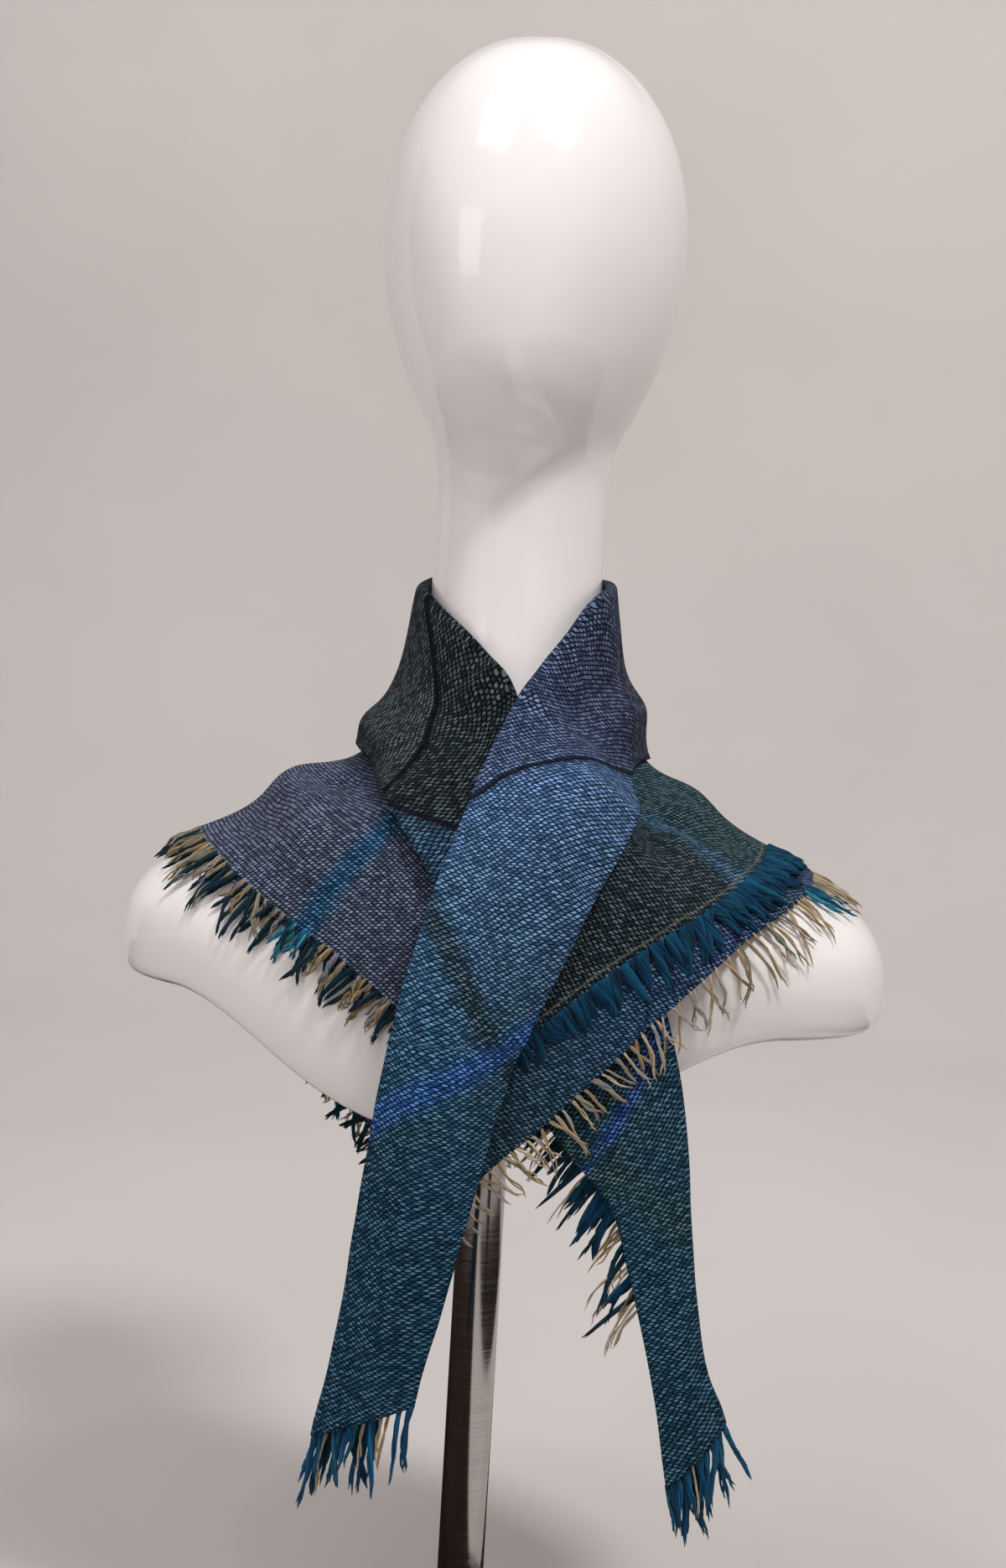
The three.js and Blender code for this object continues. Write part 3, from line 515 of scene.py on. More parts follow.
# gloss-painted fibreglass, sanded and sprayed: white, with sharp soft-box reflections and a faint ripple
def glossWhitePaint():
    material, tree = newMaterial("gloss white sprayed fibreglass")
    place = addNode(tree, "TexCoord", {}).outputs["Object"]
    tone = noiseNode(tree, place, 7.0, 3.0)
    smear = noiseNode(tree, place, 38.0, 5.0, Roughness=0.65)
    ripple = noiseNode(tree, place, 55.0, 1.0)
    white = rampNode(tree, tone, [(0.3, "#f0ebe8"), (0.7, "#f6f2f0")])
    # painted reflection: the lip and underside are darkened brown, in place of the dark surroundings that the
    # rounded edge would mirror
    rim = addNode(tree, "Attribute", {"attribute_name": "rim"}).outputs["Fac"]
    fillShader(tree, {
        "Base Color": mixNode(tree, rim, white, linear("#5d4a40")),
        "Roughness": rangeNode(tree, smear, 0.35, 0.75, 0.13, 0.24),
        "Normal": bumpNode(tree, ripple, 0.05, 0.002),
        "IOR": 1.5, "Coat Weight": 0.6, "Coat Roughness": 0.04, "Coat IOR": 1.5})
    return material


# chromed steel tube and plate: mirror finish with the faint lines of the polishing belt round it
def chromedSteel(name, stretch):
    material, tree = newMaterial(name)
    place = addNode(tree, "TexCoord", {}).outputs["Object"]
    stretched = addNode(tree, "Mapping", {"Vector": place, "Scale": stretch}).outputs["Vector"]
    lines = noiseNode(tree, stretched, 1.0, 4.0)
    fillShader(tree, {
        "Base Color": rampNode(tree, lines, [(0.3, "#b3aeab"), (0.7, "#c6c2bf")]),
        "Roughness": rangeNode(tree, lines, 0.3, 0.7, 0.1, 0.2),
        "Normal": bumpNode(tree, lines, 0.01, 0.0005), "Metallic": 1.0})
    return material


# woven wool: rows 2.2 mm high, in each of them slanted floats 2.1 mm apart where the paler yarn comes up,
# with painted shade in the gaps between rows and floats, all a little uneven, in a plaid of soft warp and
# weft stripes
# row, float and gap in mm, drift, fuzz and height in metres
weave = {
    "row": 2.2, "float": 2.1, "slant": 0.8, "gap": 0.62, "drift": 0.0030, "fuzz": 0.0014, "height": 0.0008,
}
settReach = 800  # mm each way that a sett's ramp covers


def stripeRamp(tree, side, stops):
    part = rangeNode(tree, side, -settReach * mm, settReach * mm, 0.0, 1.0)
    return rampNode(tree, part, [((at + settReach) / (2 * settReach), colour) for at, colour in stops])


def stripeMask(tree, side, at, width, strength, soft):
    away = mathNode(tree, "ABSOLUTE", mathNode(tree, "SUBTRACT", side, at * mm))
    return rangeNode(tree, away, width * mm * (0.5 + soft / 2), width * mm * (0.5 - soft / 2), 0.0, strength,
                     "SMOOTHSTEP")


def woolPlaid(name, sett):
    material, tree = newMaterial(name)
    flat = addNode(tree, "UVMap", {"uv_map": "cloth"}).outputs["UV"]
    # along and across the yarns, in metres; hand-woven rows wander by a few millimetres
    turned = addNode(tree, "Mapping", {
        "Vector": flat, "Rotation": (0, 0, math.radians(sett["grain"]))}).outputs["Vector"]
    drift = noiseNode(tree, turned, 16.0, 2.0, "Color", noise_dimensions="2D")
    sides = addNode(tree, "SeparateXYZ", {"Vector": shiftNode(tree, turned, drift, weave["drift"])})
    x, y = sides.outputs["X"], sides.outputs["Y"]
    warp, weft = stripeRamp(tree, x, sett["warp"]), stripeRamp(tree, y, sett["weft"])
    ground = mixNode(tree, sett["share"], warp, weft)
    for side, at, width, colour, strength, soft in sett["stripes"]:
        inside = stripeMask(tree, x if side == "x" else y, at, width, strength, soft)
        ground = mixNode(tree, inside, ground, linear(colour))
    # slanted floats: bricks in mm, sheared along their rows, with loosened edges
    lean = mathNode(tree, "MULTIPLY_ADD", y, weave["slant"], x)
    leaned = addNode(tree, "CombineXYZ", {"X": lean, "Y": y}).outputs["Vector"]
    fuzz = noiseNode(tree, turned, 520.0, 2.0, "Color")
    floats = addNode(tree, "TexBrick", {
        "Vector": shiftNode(tree, leaned, fuzz, weave["fuzz"]), "offset": 0.5, "offset_frequency": 2,
        "Color1": (0, 0, 0, 1), "Color2": (1, 1, 1, 1), "Mortar": (0, 0, 0, 1), "Scale": 1000.0,
        "Mortar Size": weave["gap"], "Mortar Smooth": 1.0, "Bias": 0.0,
        "Brick Width": weave["float"], "Row Height": weave["row"]})
    woven = mathNode(tree, "SUBTRACT", 1.0, floats.outputs["Fac"])
    # yarn differs from float to float and in patches
    tint = rangeNode(tree, noiseNode(tree, turned, 85.0, 3.0, Roughness=0.6), 0.3, 0.7, 0.7, 1.3)
    # painted shade: the ground is darkened almost to black in the gaps between the floats
    depth = rangeNode(tree, woven, 0.0, 0.7, 0.06, 0.9)
    body = scaleNode(tree, ground, mathNode(tree, "MULTIPLY", tint, depth))
    pick = rangeNode(tree, floats.outputs["Color"], 0.15, 0.9, 0.05, 1.0)
    top = rangeNode(tree, woven, 0.3, 0.95, 0.0, 1.0, "SMOOTHSTEP")
    crest = mixNode(tree, sett["fleck"], scaleNode(tree, ground, 3.3), linear(sett["pale"]))
    cloth = mixNode(tree, mathNode(tree, "MULTIPLY", top, pick), body, crest)
    # single threads, laid in over the rest
    for side, at, width, colour, strength in sett["threads"]:
        inside = stripeMask(tree, x if side == "x" else y, at, width, strength, 0.5)
        cloth = mixNode(tree, inside, cloth, linear(colour))
    # nap: fibres too fine to model, drawn a little coarser than they are
    height = mathNode(tree, "MULTIPLY_ADD", noiseNode(tree, turned, 1100.0, 2.0), 0.4, woven)
    fillShader(tree, {
        "Base Color": cloth, "Normal": bumpNode(tree, height, 0.8, weave["height"]), "Roughness": 0.9,
        "Specular IOR Level": 0.05, "Sheen Weight": 0.04, "Sheen Roughness": 0.5,
        "Sheen Tint": linear("#b9c6d2")})
    return material


# loose wool yarn: the strand's own colour with darker streaks between its fibres
def looseYarn(name):
    material, tree = newMaterial(name)
    strand = addNode(tree, "Attribute", {"attribute_name": "yarn"}).outputs["Color"]
    place = addNode(tree, "UVMap", {"uv_map": "strand"}).outputs["UV"]
    # fibres run along the strand, so the streaks are close round it, in u, and long in v
    drawn = addNode(tree, "Mapping", {"Vector": place, "Scale": (60.0, 4.0, 1.0)}).outputs["Vector"]
    streak = noiseNode(tree, drawn, 1.0, 3.0)
    fillShader(tree, {
        "Base Color": scaleNode(tree, strand, rangeNode(tree, streak, 0.3, 0.7, 0.62, 1.2)),
        "Normal": bumpNode(tree, streak, 0.5, 0.0003), "Roughness": 0.85, "Specular IOR Level": 0.1,
        "Sheen Weight": 0.06, "Sheen Roughness": 0.5, "Sheen Tint": linear("#c4ccd2")})
    return material


# what stands round the part: matt, with a faint change of tone
def mattSurface(name, roughness, specular, scale, detail, stops):
    material, tree = newMaterial(name)
    place = addNode(tree, "TexCoord", {}).outputs["Object"]
    fillShader(tree, {
        "Base Color": rampNode(tree, noiseNode(tree, place, scale, detail), stops),
        "Roughness": roughness, "Specular IOR Level": specular})
    return material


def deselectAll():
    if bpy.context.object and bpy.context.object.mode != "OBJECT":
        bpy.ops.object.mode_set(mode="OBJECT")
    bpy.ops.object.select_all(action="DESELECT")


def makeActive(piece):
    deselectAll()
    piece.select_set(True)
    bpy.context.view_layer.objects.active = piece


def applyPlace(piece):
    makeActive(piece)
    bpy.ops.object.transform_apply(location=True, rotation=True, scale=True)


def addBust(size):
    # a ring of points at the hollow underside, extruded ring by ring over lip, shoulders, neck and head
    deselectAll()
    sides, topRing = size["sides"], bustRings[-1][0]
    bpy.ops.mesh.primitive_circle_add(vertices=sides, radius=size["seatRadius"] * mm, fill_type="NGON")
    bust = bpy.context.object
    bust.name = "bustShell"
    turns = np.arange(sides) * -360 / sides
    angles = np.radians(turns)
    seat = np.stack([-np.sin(angles) * size["seatRadius"], -np.cos(angles) * size["seatRadius"],
                     np.full(sides, float(size["seatHeight"]))], -1)
    lip = bustPoint(turns, 0.0)
    inside = lip + (seat - lip) * size["wallIn"] + np.array([0, 0, size["wallRise"]])
    edge = lip + (seat - lip) * size["edgeIn"] - np.array([0, 0, size["edgeDrop"]])
    rings = [seat, seat + (inside - seat) * 0.5, inside, edge]
    # closer rings where the lip rounds over
    levels = np.concatenate([[0.12, 0.3, 0.6], np.arange(1, topRing + 0.01, 0.25)])
    rings += [bustPoint(turns, level) for level in levels]
    crown = rings[-1].mean(0)
    for share in size["crownShares"]:
        ring = crown + (bustPoint(turns, float(topRing)) - crown) * share
        ring[:, 2] = crown[2] + (size["headTop"] - crown[2]) * (1 - share ** 2)
        rings.append(ring)
    bpy.ops.object.mode_set(mode="EDIT")
    bpy.ops.mesh.select_all(action="SELECT")
    for k, ring in enumerate(rings):
        if k:
            bpy.ops.mesh.extrude_region_move()
        shell = bmesh.from_edit_mesh(bust.data)
        shell.verts.ensure_lookup_table()
        first = len(shell.verts) - sides
        for j in range(sides):
            shell.verts[first + j].co = Vector(ring[j]) * mm
        bmesh.update_edit_mesh(bust.data)
    bpy.ops.mesh.select_all(action="SELECT")
    bpy.ops.mesh.normals_make_consistent(inside=False)
    bpy.ops.object.mode_set(mode="OBJECT")
    bpy.ops.object.shade_smooth()
    applyPlace(bust)
    # how much painted dark reflection each ring takes, from the underside round the lip
    paintedRimReflection = [0.0, 0.2, 0.8, 0.9, 0.75, 0.2]
    rim = bust.data.attributes.new(name="rim", type="FLOAT", domain="POINT")
    rim.data.foreach_set("value", np.repeat(paintedRimReflection + [0.0] * (len(rings) - len(paintedRimReflection)), sides))
    bust.data.materials.clear()
    bust.data.materials.append(glossWhitePaint())
    return bust


bust = addBust(bustSize)
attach(bust, "root")
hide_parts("bust")
print("bust made")

poleSize = {"radius": 12.5, "bottom": 8.3, "top": 379.7, "edge": 0.8, "sides": 96}


def easeEdges(piece, width, segments, sharpAngle):
    # rounds the edges that are sharper than the angle, and smooths the rest
    edge = piece.modifiers.new("edge", "BEVEL")
    edge.width, edge.segments = width * mm, segments
    edge.limit_method, edge.angle_limit = "ANGLE", math.radians(sharpAngle)
    makeActive(piece)
    bpy.ops.object.modifier_apply(modifier="edge")
    bpy.ops.object.shade_smooth_by_angle(angle=math.radians(35))
    applyPlace(piece)


def addPole(size):
    deselectAll()
    height = size["top"] - size["bottom"]
    bpy.ops.mesh.primitive_cylinder_add(vertices=size["sides"], radius=size["radius"] * mm, depth=height * mm,
                                        location=(0, 0, (size["top"] + size["bottom"]) / 2 * mm))
    pole = bpy.context.object
    pole.name = "chromedPole"
    easeEdges(pole, size["edge"], 2, 30)
    pole.data.materials.append(chromedSteel("chromed steel tube", (30.0, 30.0, 900.0)))
    return pole


pole = addPole(poleSize)
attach(pole, "root")
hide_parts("pole")

plateSize = {"radius": 130, "thickness": 8, "edge": 1.5, "sides": 160, "rings": (19, 18, 12.5)}


def addPlate(size):
    # a flat disc with an eased edge; the rings of points round the pole's foot keep its top evenly shaded
    deselectAll()
    bpy.ops.mesh.primitive_cylinder_add(
        vertices=size["sides"], radius=size["radius"] * mm, depth=size["thickness"] * mm,
        location=(0, 0, size["thickness"] / 2 * mm))
    plate = bpy.context.object
    plate.name = "chromedBasePlate"
    bpy.ops.object.mode_set(mode="EDIT")
    shape = bmesh.from_edit_mesh(plate.data)
    for face in shape.faces:
        face.select = face.normal.z > 0.9
    bmesh.update_edit_mesh(plate.data)
    for outer, inner in zip((size["radius"],) + size["rings"], size["rings"]):
        bpy.ops.mesh.inset(thickness=(outer - inner) * mm)
    bpy.ops.object.mode_set(mode="OBJECT")
    easeEdges(plate, size["edge"], 3, 50)
    plate.data.materials.append(chromedSteel("chromed steel plate", (140.0, 140.0, 140.0)))
    return plate


plate = addPlate(plateSize)
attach(plate, "root")
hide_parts("base_plate")
print("stand made")


def addMesh(name, points, faces, uvName, places):
    # points in mm, and for each of them its place in the UV map, in mm too
    mesh = bpy.data.meshes.new(name)
    mesh.from_pydata((points.reshape(-1, 3) * mm).tolist(), [], faces)
    mesh.polygons.foreach_set("use_smooth", [True] * len(mesh.polygons))
    corners = np.empty(len(mesh.loops), int)
    mesh.loops.foreach_get("vertex_index", corners)
    layer = mesh.uv_layers.new(name=uvName)
    layer.data.foreach_set("uv", (places.reshape(-1, 2)[corners] * mm).ravel())
    return addObject(name, mesh)


def addCloth(name, grid, flat, thickness, material):
    # a thin wall on a grid of points, with the cloth's flat places as its UV map
    rows, columns = grid.shape[:2]
    index = np.arange(rows * columns).reshape(rows, columns)
    quads = np.stack([index[:-1, :-1], index[1:, :-1], index[1:, 1:], index[:-1, 1:]], -1).reshape(-1, 4)
    piece = addMesh(name, grid, quads.tolist(), "cloth", flat)
    middle = piece.data.polygons[len(quads) // 2]
    if np.dot(np.array(middle.normal)[:2], np.array(middle.center)[:2]) < 0:
        piece.data.flip_normals()
    wall = piece.modifiers.new("wall", "SOLIDIFY")
    wall.thickness, wall.offset = thickness * mm, 0
    makeActive(piece)
    bpy.ops.object.modifier_apply(modifier="wall")
    piece.data.materials.append(material)
    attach(piece, "root")
    return piece


def roughen(grid, amount, size, seed):
    # low uneven swells, so that no stretch of cloth is quite smooth
    rows, columns = grid.shape[:2]
    normals = unit(np.cross(np.gradient(grid, axis=0), np.gradient(grid, axis=1)))
    swell = np.array([noise.noise(Vector(p) / size + Vector((seed, 0, 0))) for p in grid.reshape(-1, 3)])
    return grid + normals * (swell * amount).reshape(rows, columns, 1)


def capeSheet(edgeColumn, above, columns, rows):
    turns = np.linspace(capeRows[0][0], capeRows[-1][0], columns)
    atSides = np.clip(np.sin(np.radians(turns)) ** 2 * 2, 0, 1)
    top = readTable(capeRows, capeTop, turns) - capeSize["tuck"] * atSides
    edge = readTable(capeRows, edgeColumn, turns)
    drops = top[:, None] + (edge - top)[:, None] * np.linspace(0, 1, rows)[None, :]
    grid = capePoint(turns[:, None] + 0 * drops, drops, above)
    return grid, capeFlat(turns, drops, edgeColumn)


# the plaid: grey blue over the left shoulder, bottle green over the right, royal and sky blue lines
# x runs along the fringed edge of the left leg, y along that of the right one, both from the point at the
# back, in mm; stripes are (axis, place, width, colour, strength, softness), and threads have no softness
skyStripe = ("x", -434, 12, "#04496c", 0.85, 1.0)
capeUpperSett = {
    "grain": 0, "share": 0.5, "fleck": 0.2, "pale": "#9aa0a8",
    "warp": [(-800, "#344156"), (-560, "#3b455a"), (-440, "#434c60"), (-330, "#50566a"), (-200, "#2e3a4e"),
             (-80, "#243c44"), (-30, "#25393e"), (60, "#18262a"), (300, "#1f3238")],
    "weft": [(-100, "#4c5468"), (40, "#464f62"), (80, "#3a455c"), (170, "#273450"), (300, "#22404a"),
             (390, "#233e46"), (430, "#20282a"), (520, "#161c1d"), (600, "#1a282a"), (800, "#1d3440")],
    "stripes": [skyStripe, ("y", 407, 12, "#3c6488", 0.4, 1.0), ("x", -160, 12, "#26509c", 0.55, 0.7),
                ("y", 240, 12, "#26509c", 0.55, 0.7)],
    "threads": [("x", -2.4, 1.1, "#8f8c7c", 0.22)],
}
capeLowerSett = {
    "grain": 0, "share": 0.5, "fleck": 0.28, "pale": "#8792ac", "warp": capeUpperSett["warp"],
    "weft": [(-100, "#434b5c"), (170, "#273450"), (330, "#33466a"), (430, "#2c4468"), (520, "#29507a"),
             (580, "#1f4658"), (800, "#1d3440")],
    "stripes": [skyStripe, ("y", 460, 40, "#3f5482", 0.35, 0.9)],
    "threads": [],
}
capeSwell = {"amount": 0.7, "size": 26, "seed": 3}
upperGrid, upperFlat = capeSheet(capeUpperEdge, upperAbove, capeSize["columns"], capeSize["upperRows"])
upperGrid = roughen(upperGrid, **capeSwell)
upperWool = woolPlaid("woven wool plaid, upper layer", capeUpperSett)
capeUpper = addCloth("capeUpperLayer", upperGrid, upperFlat, capeSize["layer"], upperWool)
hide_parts("cape_outer")

lowerGrid, lowerFlat = capeSheet(capeLowerEdge, lowerAbove, capeSize["columns"], capeSize["lowerRows"])
lowerWool = woolPlaid("woven wool plaid, lower layer", capeLowerSett)
capeLower = addCloth("capeLowerLayer", lowerGrid, lowerFlat, capeSize["layer"], lowerWool)
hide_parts("cape_inner")
print("cape made")

# the band lies on the bias, so the plaid's lines cross it at 45 degrees; both run from the tip of the end
# underneath, along 1245 mm of folded edge
bandSett = {
    "grain": 45, "share": 0.5, "fleck": 0.2, "pale": "#a2aaae",
    "warp": [(-40, "#153c4e"), (60, "#1a4452"), (110, "#284850"), (150, "#1f4a68"), (190, "#3c6488"),
             (200, "#1a2628"), (300, "#161f22"), (420, "#20292c"), (452, "#22292c"), (466, "#323a50"),
             (540, "#40577a"), (600, "#3c5c78"), (640, "#2c5878"), (700, "#143f56"), (800, "#154258")],
    "weft": [(-40, "#153c4e"), (100, "#1a4460"), (200, "#1c3f4a"), (270, "#1a2628"), (308, "#172324"),
             (316, "#3c4044"), (360, "#30343a"), (450, "#20222e"), (500, "#2c3248"), (568, "#3e4664"),
             (578, "#466c96"), (630, "#3c6080"), (672, "#28506a"), (694, "#1e404a"), (730, "#153e54"),
             (800, "#153f54")],
    "stripes": [("x", 612, 11, "#1c302e", 0.75, 0.8), ("y", 684, 12, "#285496", 0.72, 0.7),
                ("y", 146, 8, "#24479a", 0.55, 0.8), ("x", 78, 15, "#24403e", 0.6, 0.9)],
    "threads": [("x", 457, 2.6, "#2b1c2a", 0.6), ("y", 312, 3.6, "#04060a", 0.97),
                ("x", 197, 3, "#160b14", 0.9), ("y", 573, 3.4, "#0c0a18", 0.92)],
}
bandSwell = {"amount": 0.5, "size": 24, "seed": 9}
bandPoints, bandFlat = bandGrid(bandSize)
bandPoints = roughen(bandPoints, **bandSwell)
bandWool = woolPlaid("woven wool plaid, collar and ends", bandSett)
band = addCloth("collarAndEnds", bandPoints, bandFlat, bandSize["wall"], bandWool)
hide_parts("under_end", "collar", "front_end")
print("collar and ends made")

strandSteps, strandShift = 9, 37.0  # points along each strand, and mm from its streaks to the next one's


def addStrands(name, paths, radii, colours, material, sides=5):
    # tubes round many centre lines at once: paths in mm, a radius for each point, a colour for each strand
    count, steps = paths.shape[:2]
    tangents = unit(np.gradient(paths, axis=1))
    # any direction does that no strand runs along
    across = unit(np.cross(tangents, np.array([0.31, 0.17, 0.93])))
    upward = np.cross(across, tangents)
    angles = np.radians(np.arange(sides) * 360 / sides)
    rings = (paths[:, :, None] + radii[:, :, None, None] * (
        across[:, :, None] * np.cos(angles)[:, None] + upward[:, :, None] * np.sin(angles)[:, None]))
    index = np.arange(count * steps * sides).reshape(count, steps, sides)
    nextSide = np.roll(index, -1, axis=2)
    quads = np.stack([index[:, :-1], nextSide[:, :-1], nextSide[:, 1:], index[:, 1:]], -1).reshape(-1, 4)
    roots, tips = index[:, 0, ::-1], index[:, -1]
    faces = quads.tolist() + roots.tolist() + tips.tolist()
    along = np.zeros((count, steps))
    along[:, 1:] = np.cumsum(np.linalg.norm(np.diff(paths, axis=1), axis=2), 1)
    # each strand starts at a place of its own in the streaks
    along += np.arange(count)[:, None] * strandShift
    place = np.stack([np.broadcast_to(np.arange(sides) / sides / mm, rings.shape[:3]),
                      np.broadcast_to(along[:, :, None], rings.shape[:3])], -1)
    piece = addMesh(name, rings, faces, "strand", place)
    tone = piece.data.color_attributes.new(name="yarn", type="FLOAT_COLOR", domain="POINT")
    filled = np.ones((count, steps, sides, 4))
    filled[..., :3] = colours[:, None, None, :]
    tone.data.foreach_set("color", filled.ravel())
    piece.data.materials.append(material)
    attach(piece, "root")
    return piece


def bundles(centres, outward, kinds, rng, thick):
    # every lock is a few yarns wound loosely round one centre line
    paths, radii, colours = [], [], []
    steps = centres.shape[1]
    t = np.linspace(0, 1, steps)
    tangents = unit(np.gradient(centres, axis=1))
    beside = unit(np.cross(tangents, outward))
    raised = np.cross(beside, tangents)
    for i, kind in enumerate(kinds):
        yarns, wave, width = kind["yarns"], kind["wave"], kind["width"] * thick[i]
        phase = rng.uniform(0, 2 * math.pi)
        for k in range(yarns):
            angle = phase + 2 * math.pi * (k / yarns + kind["wound"] * t * rng.uniform(0.85, 1.15))
            swell = kind["spread"] * (0.75 + 0.25 * np.sin(math.pi * t)) * (1 - 0.55 * t ** 2)
            swell = swell + kind["loose"] * t ** 2 * rng.uniform(-1, 1)
            reach = rng.uniform(0.86, 1.06)
            centre = centres[i, 0] + (centres[i] - centres[i, 0]) * reach
            aside = np.cos(angle) * swell + wave * np.sin(t * rng.uniform(5, 11) + rng.uniform(0, 6)) * t
            up = np.sin(angle) * swell * 0.7 + wave * 0.5 * np.cos(t * 8 + phase) * t
            paths.append(centre + beside[i] * aside[:, None] + raised[i] * up[:, None])
            radii.append(width * (1 - 0.35 * t) * (1 - 0.75 * np.clip((t - 0.9) / 0.1, 0, 1)))
            base = np.array(linear(kind["colours"][int(rng.integers(len(kind["colours"])))])[:3])
            colours.append(base * rng.uniform(0.7, 1.3))
    return np.array(paths), np.array(radii), np.array(colours)


# yarns in a lock, how far they stand apart, turns they wind, radius, looseness and waviness at the tip, in mm
darkLock = {"yarns": 4, "spread": 0.85, "wound": 0.7, "width": 0.85, "loose": 0.3, "wave": 0.4,
            "colours": ["#0f2a33", "#12323e", "#0c2e3a", "#1a2c3a"]}
tealLock = {"yarns": 6, "spread": 1.7, "wound": 0.5, "width": 1.2, "loose": 0.5, "wave": 0.5,
            "colours": ["#082c46", "#0a3858", "#0c3e52", "#092a42", "#0e4662"]}
ochreYarn = {"yarns": 3, "spread": 0.8, "wound": 0.9, "width": 0.82, "loose": 1.5, "wave": 1.4,
             "colours": ["#9a7c50", "#8f8168", "#85807a", "#93866f", "#6f7a6c", "#77767c"]}
beigeYarn = {"yarns": 2, "spread": 0.4, "wound": 1.2, "width": 0.66, "loose": 1.1, "wave": 1.0,
             "colours": ["#b3a084", "#a38d6e", "#bfab8e", "#927f60", "#a39c98"]}
skyYarn = {"yarns": 4, "spread": 0.9, "wound": 0.8, "width": 0.8, "loose": 1.6, "wave": 1.2,
           "colours": ["#1c6280", "#2a7890", "#3f8894", "#145070"]}
blueLock = {"yarns": 4, "spread": 0.9, "wound": 0.7, "width": 0.85, "loose": 0.7, "wave": 0.8,
            "colours": ["#124468", "#17567c", "#123a58", "#245468"]}


def pickKinds(rng, count, choices):
    # choices are (kind, share) pairs
    shares = np.array([share for kind, share in choices], float)
    picked = rng.choice(len(choices), count, p=shares / shares.sum())
    return [choices[k][0] for k in picked]


chartTurns = np.linspace(capeRows[0][0], capeRows[-1][0], 700)
rootDepth = 1.2  # mm that each strand starts inside the cloth


def capeFringe(name, firstTurn, lastTurn, edgeColumn, above, spacing, length, choices, seed, lean, sky):
    # roots on the cape's edge, tips square to it, all in the cloth's own measure, so they stay off the bust
    rng = np.random.default_rng(seed)
    turns = np.linspace(firstTurn, lastTurn, 400)
    rim = capePoint(turns, readTable(capeRows, edgeColumn, turns), above)
    along = lengthAlong(rim)
    count = int(along[-1] / spacing)
    spots = (np.arange(count) + 0.5 + rng.uniform(-0.35, 0.35, count)) * along[-1] / count
    turn = np.interp(spots, along, turns)
    drop = readTable(capeRows, edgeColumn, turn)
    before, after = turn - 0.5, turn + 0.5
    perDegree = np.linalg.norm(capePoint(after, drop, above) - capePoint(before, drop, above), axis=1)
    slope = (readTable(capeRows, edgeColumn, after) - readTable(capeRows, edgeColumn, before)) / perDegree
    reach = np.sqrt(1 + slope ** 2)
    sideways, downward = -slope / reach, 1 / reach
    swing = rng.normal(0, 0.22, count) + lean
    lengths = length * rng.uniform(0.72, 1.1, count)
    t = np.linspace(0, 1, strandSteps)
    bend = rng.normal(0, 0.12, count)
    travel = lengths[:, None] * t
    sidewaysNow = sideways[:, None] + swing[:, None] + bend[:, None] * t
    downNow = downward[:, None] + 0 * t
    stretch = np.sqrt(sidewaysNow ** 2 + downNow ** 2)
    strandTurn = turn[:, None] + travel * sidewaysNow / stretch / perDegree[:, None]
    strandDrop = drop[:, None] + travel * downNow / stretch - rootDepth
    lifted = (readTable(capeRows, capeLift, turn) + capeFoldLift(turn, drop))[:, None] * (1 - 0.3 * t) + above
    lifted = np.maximum(lifted, 2.0) + (rng.uniform(-0.3, 1.6, count)[:, None]) * t * 1.5
    centres = bodyPoint(strandTurn, strandDrop, lifted)
    outward = unit(bodyPoint(strandTurn, strandDrop, lifted + 1) - centres)
    kinds = pickKinds(rng, count, choices)
    # where a sky-blue stripe of the cloth runs out, its yarns do too
    flatPlace = np.interp(turn, chartTurns, capeChart(chartTurns, edgeColumn)[1])
    for middle, reach in sky:
        kinds = [skyYarn if abs(at - middle) < reach else kind for at, kind in zip(flatPlace, kinds)]
    paths, radii, colours = bundles(centres, outward, kinds, rng, rng.uniform(0.8, 1.2, count))
    return addStrands(name, paths, radii, colours, looseYarn("loose wool yarn, " + name))


leftTopMix = [(ochreYarn, 0.72), (darkLock, 0.28)]
leftUnderMix = [(darkLock, 0.75), (ochreYarn, 0.25)]
rightTopMix = [(tealLock, 0.9), (blueLock, 0.1)]
rightUnderMix = [(beigeYarn, 0.93), (ochreYarn, 0.07)]
# name, node, turns, edge of the cape, height above the body's measure, spacing and length in mm, mix, seed,
# lean, and where sky-blue yarns run out: place along the leg and reach, mm
fringeRuns = [
    ("fringeLeftUpper", "fringe_left_outer",
     -10, 92, capeUpperEdge, upperAbove, 4.4, 21, leftTopMix, 21, 0.28, [(-436, 8)]),
    ("fringeLeftLower", "fringe_left_inner",
     -10, 92, capeLowerEdge, lowerAbove, 5.0, 25, leftUnderMix, 22, 0.22, [(-436, 7)]),
    ("fringeBackUpper", "fringe_back_outer",
     92, 262, capeUpperEdge, upperAbove, 4.6, 24, leftTopMix, 23, 0.0, []),
    ("fringeBackLower", "fringe_back_inner",
     92, 262, capeLowerEdge, lowerAbove, 4.6, 24, leftUnderMix, 24, 0.0, []),
    ("fringeRightUpper", "fringe_right_outer",
     262, 361, capeUpperEdge, upperAbove, 2.9, 20, rightTopMix, 25, 0.0, []),
    ("fringeRightLower", "fringe_right_inner",
     262, 361, capeLowerEdge, lowerAbove, 4.6, 27, rightUnderMix, 26, -0.1, [(385, 6)]),
]
for name, node, *facts in fringeRuns:
    piece = capeFringe(name, *facts)
    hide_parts(node)
print("cape fringe made")


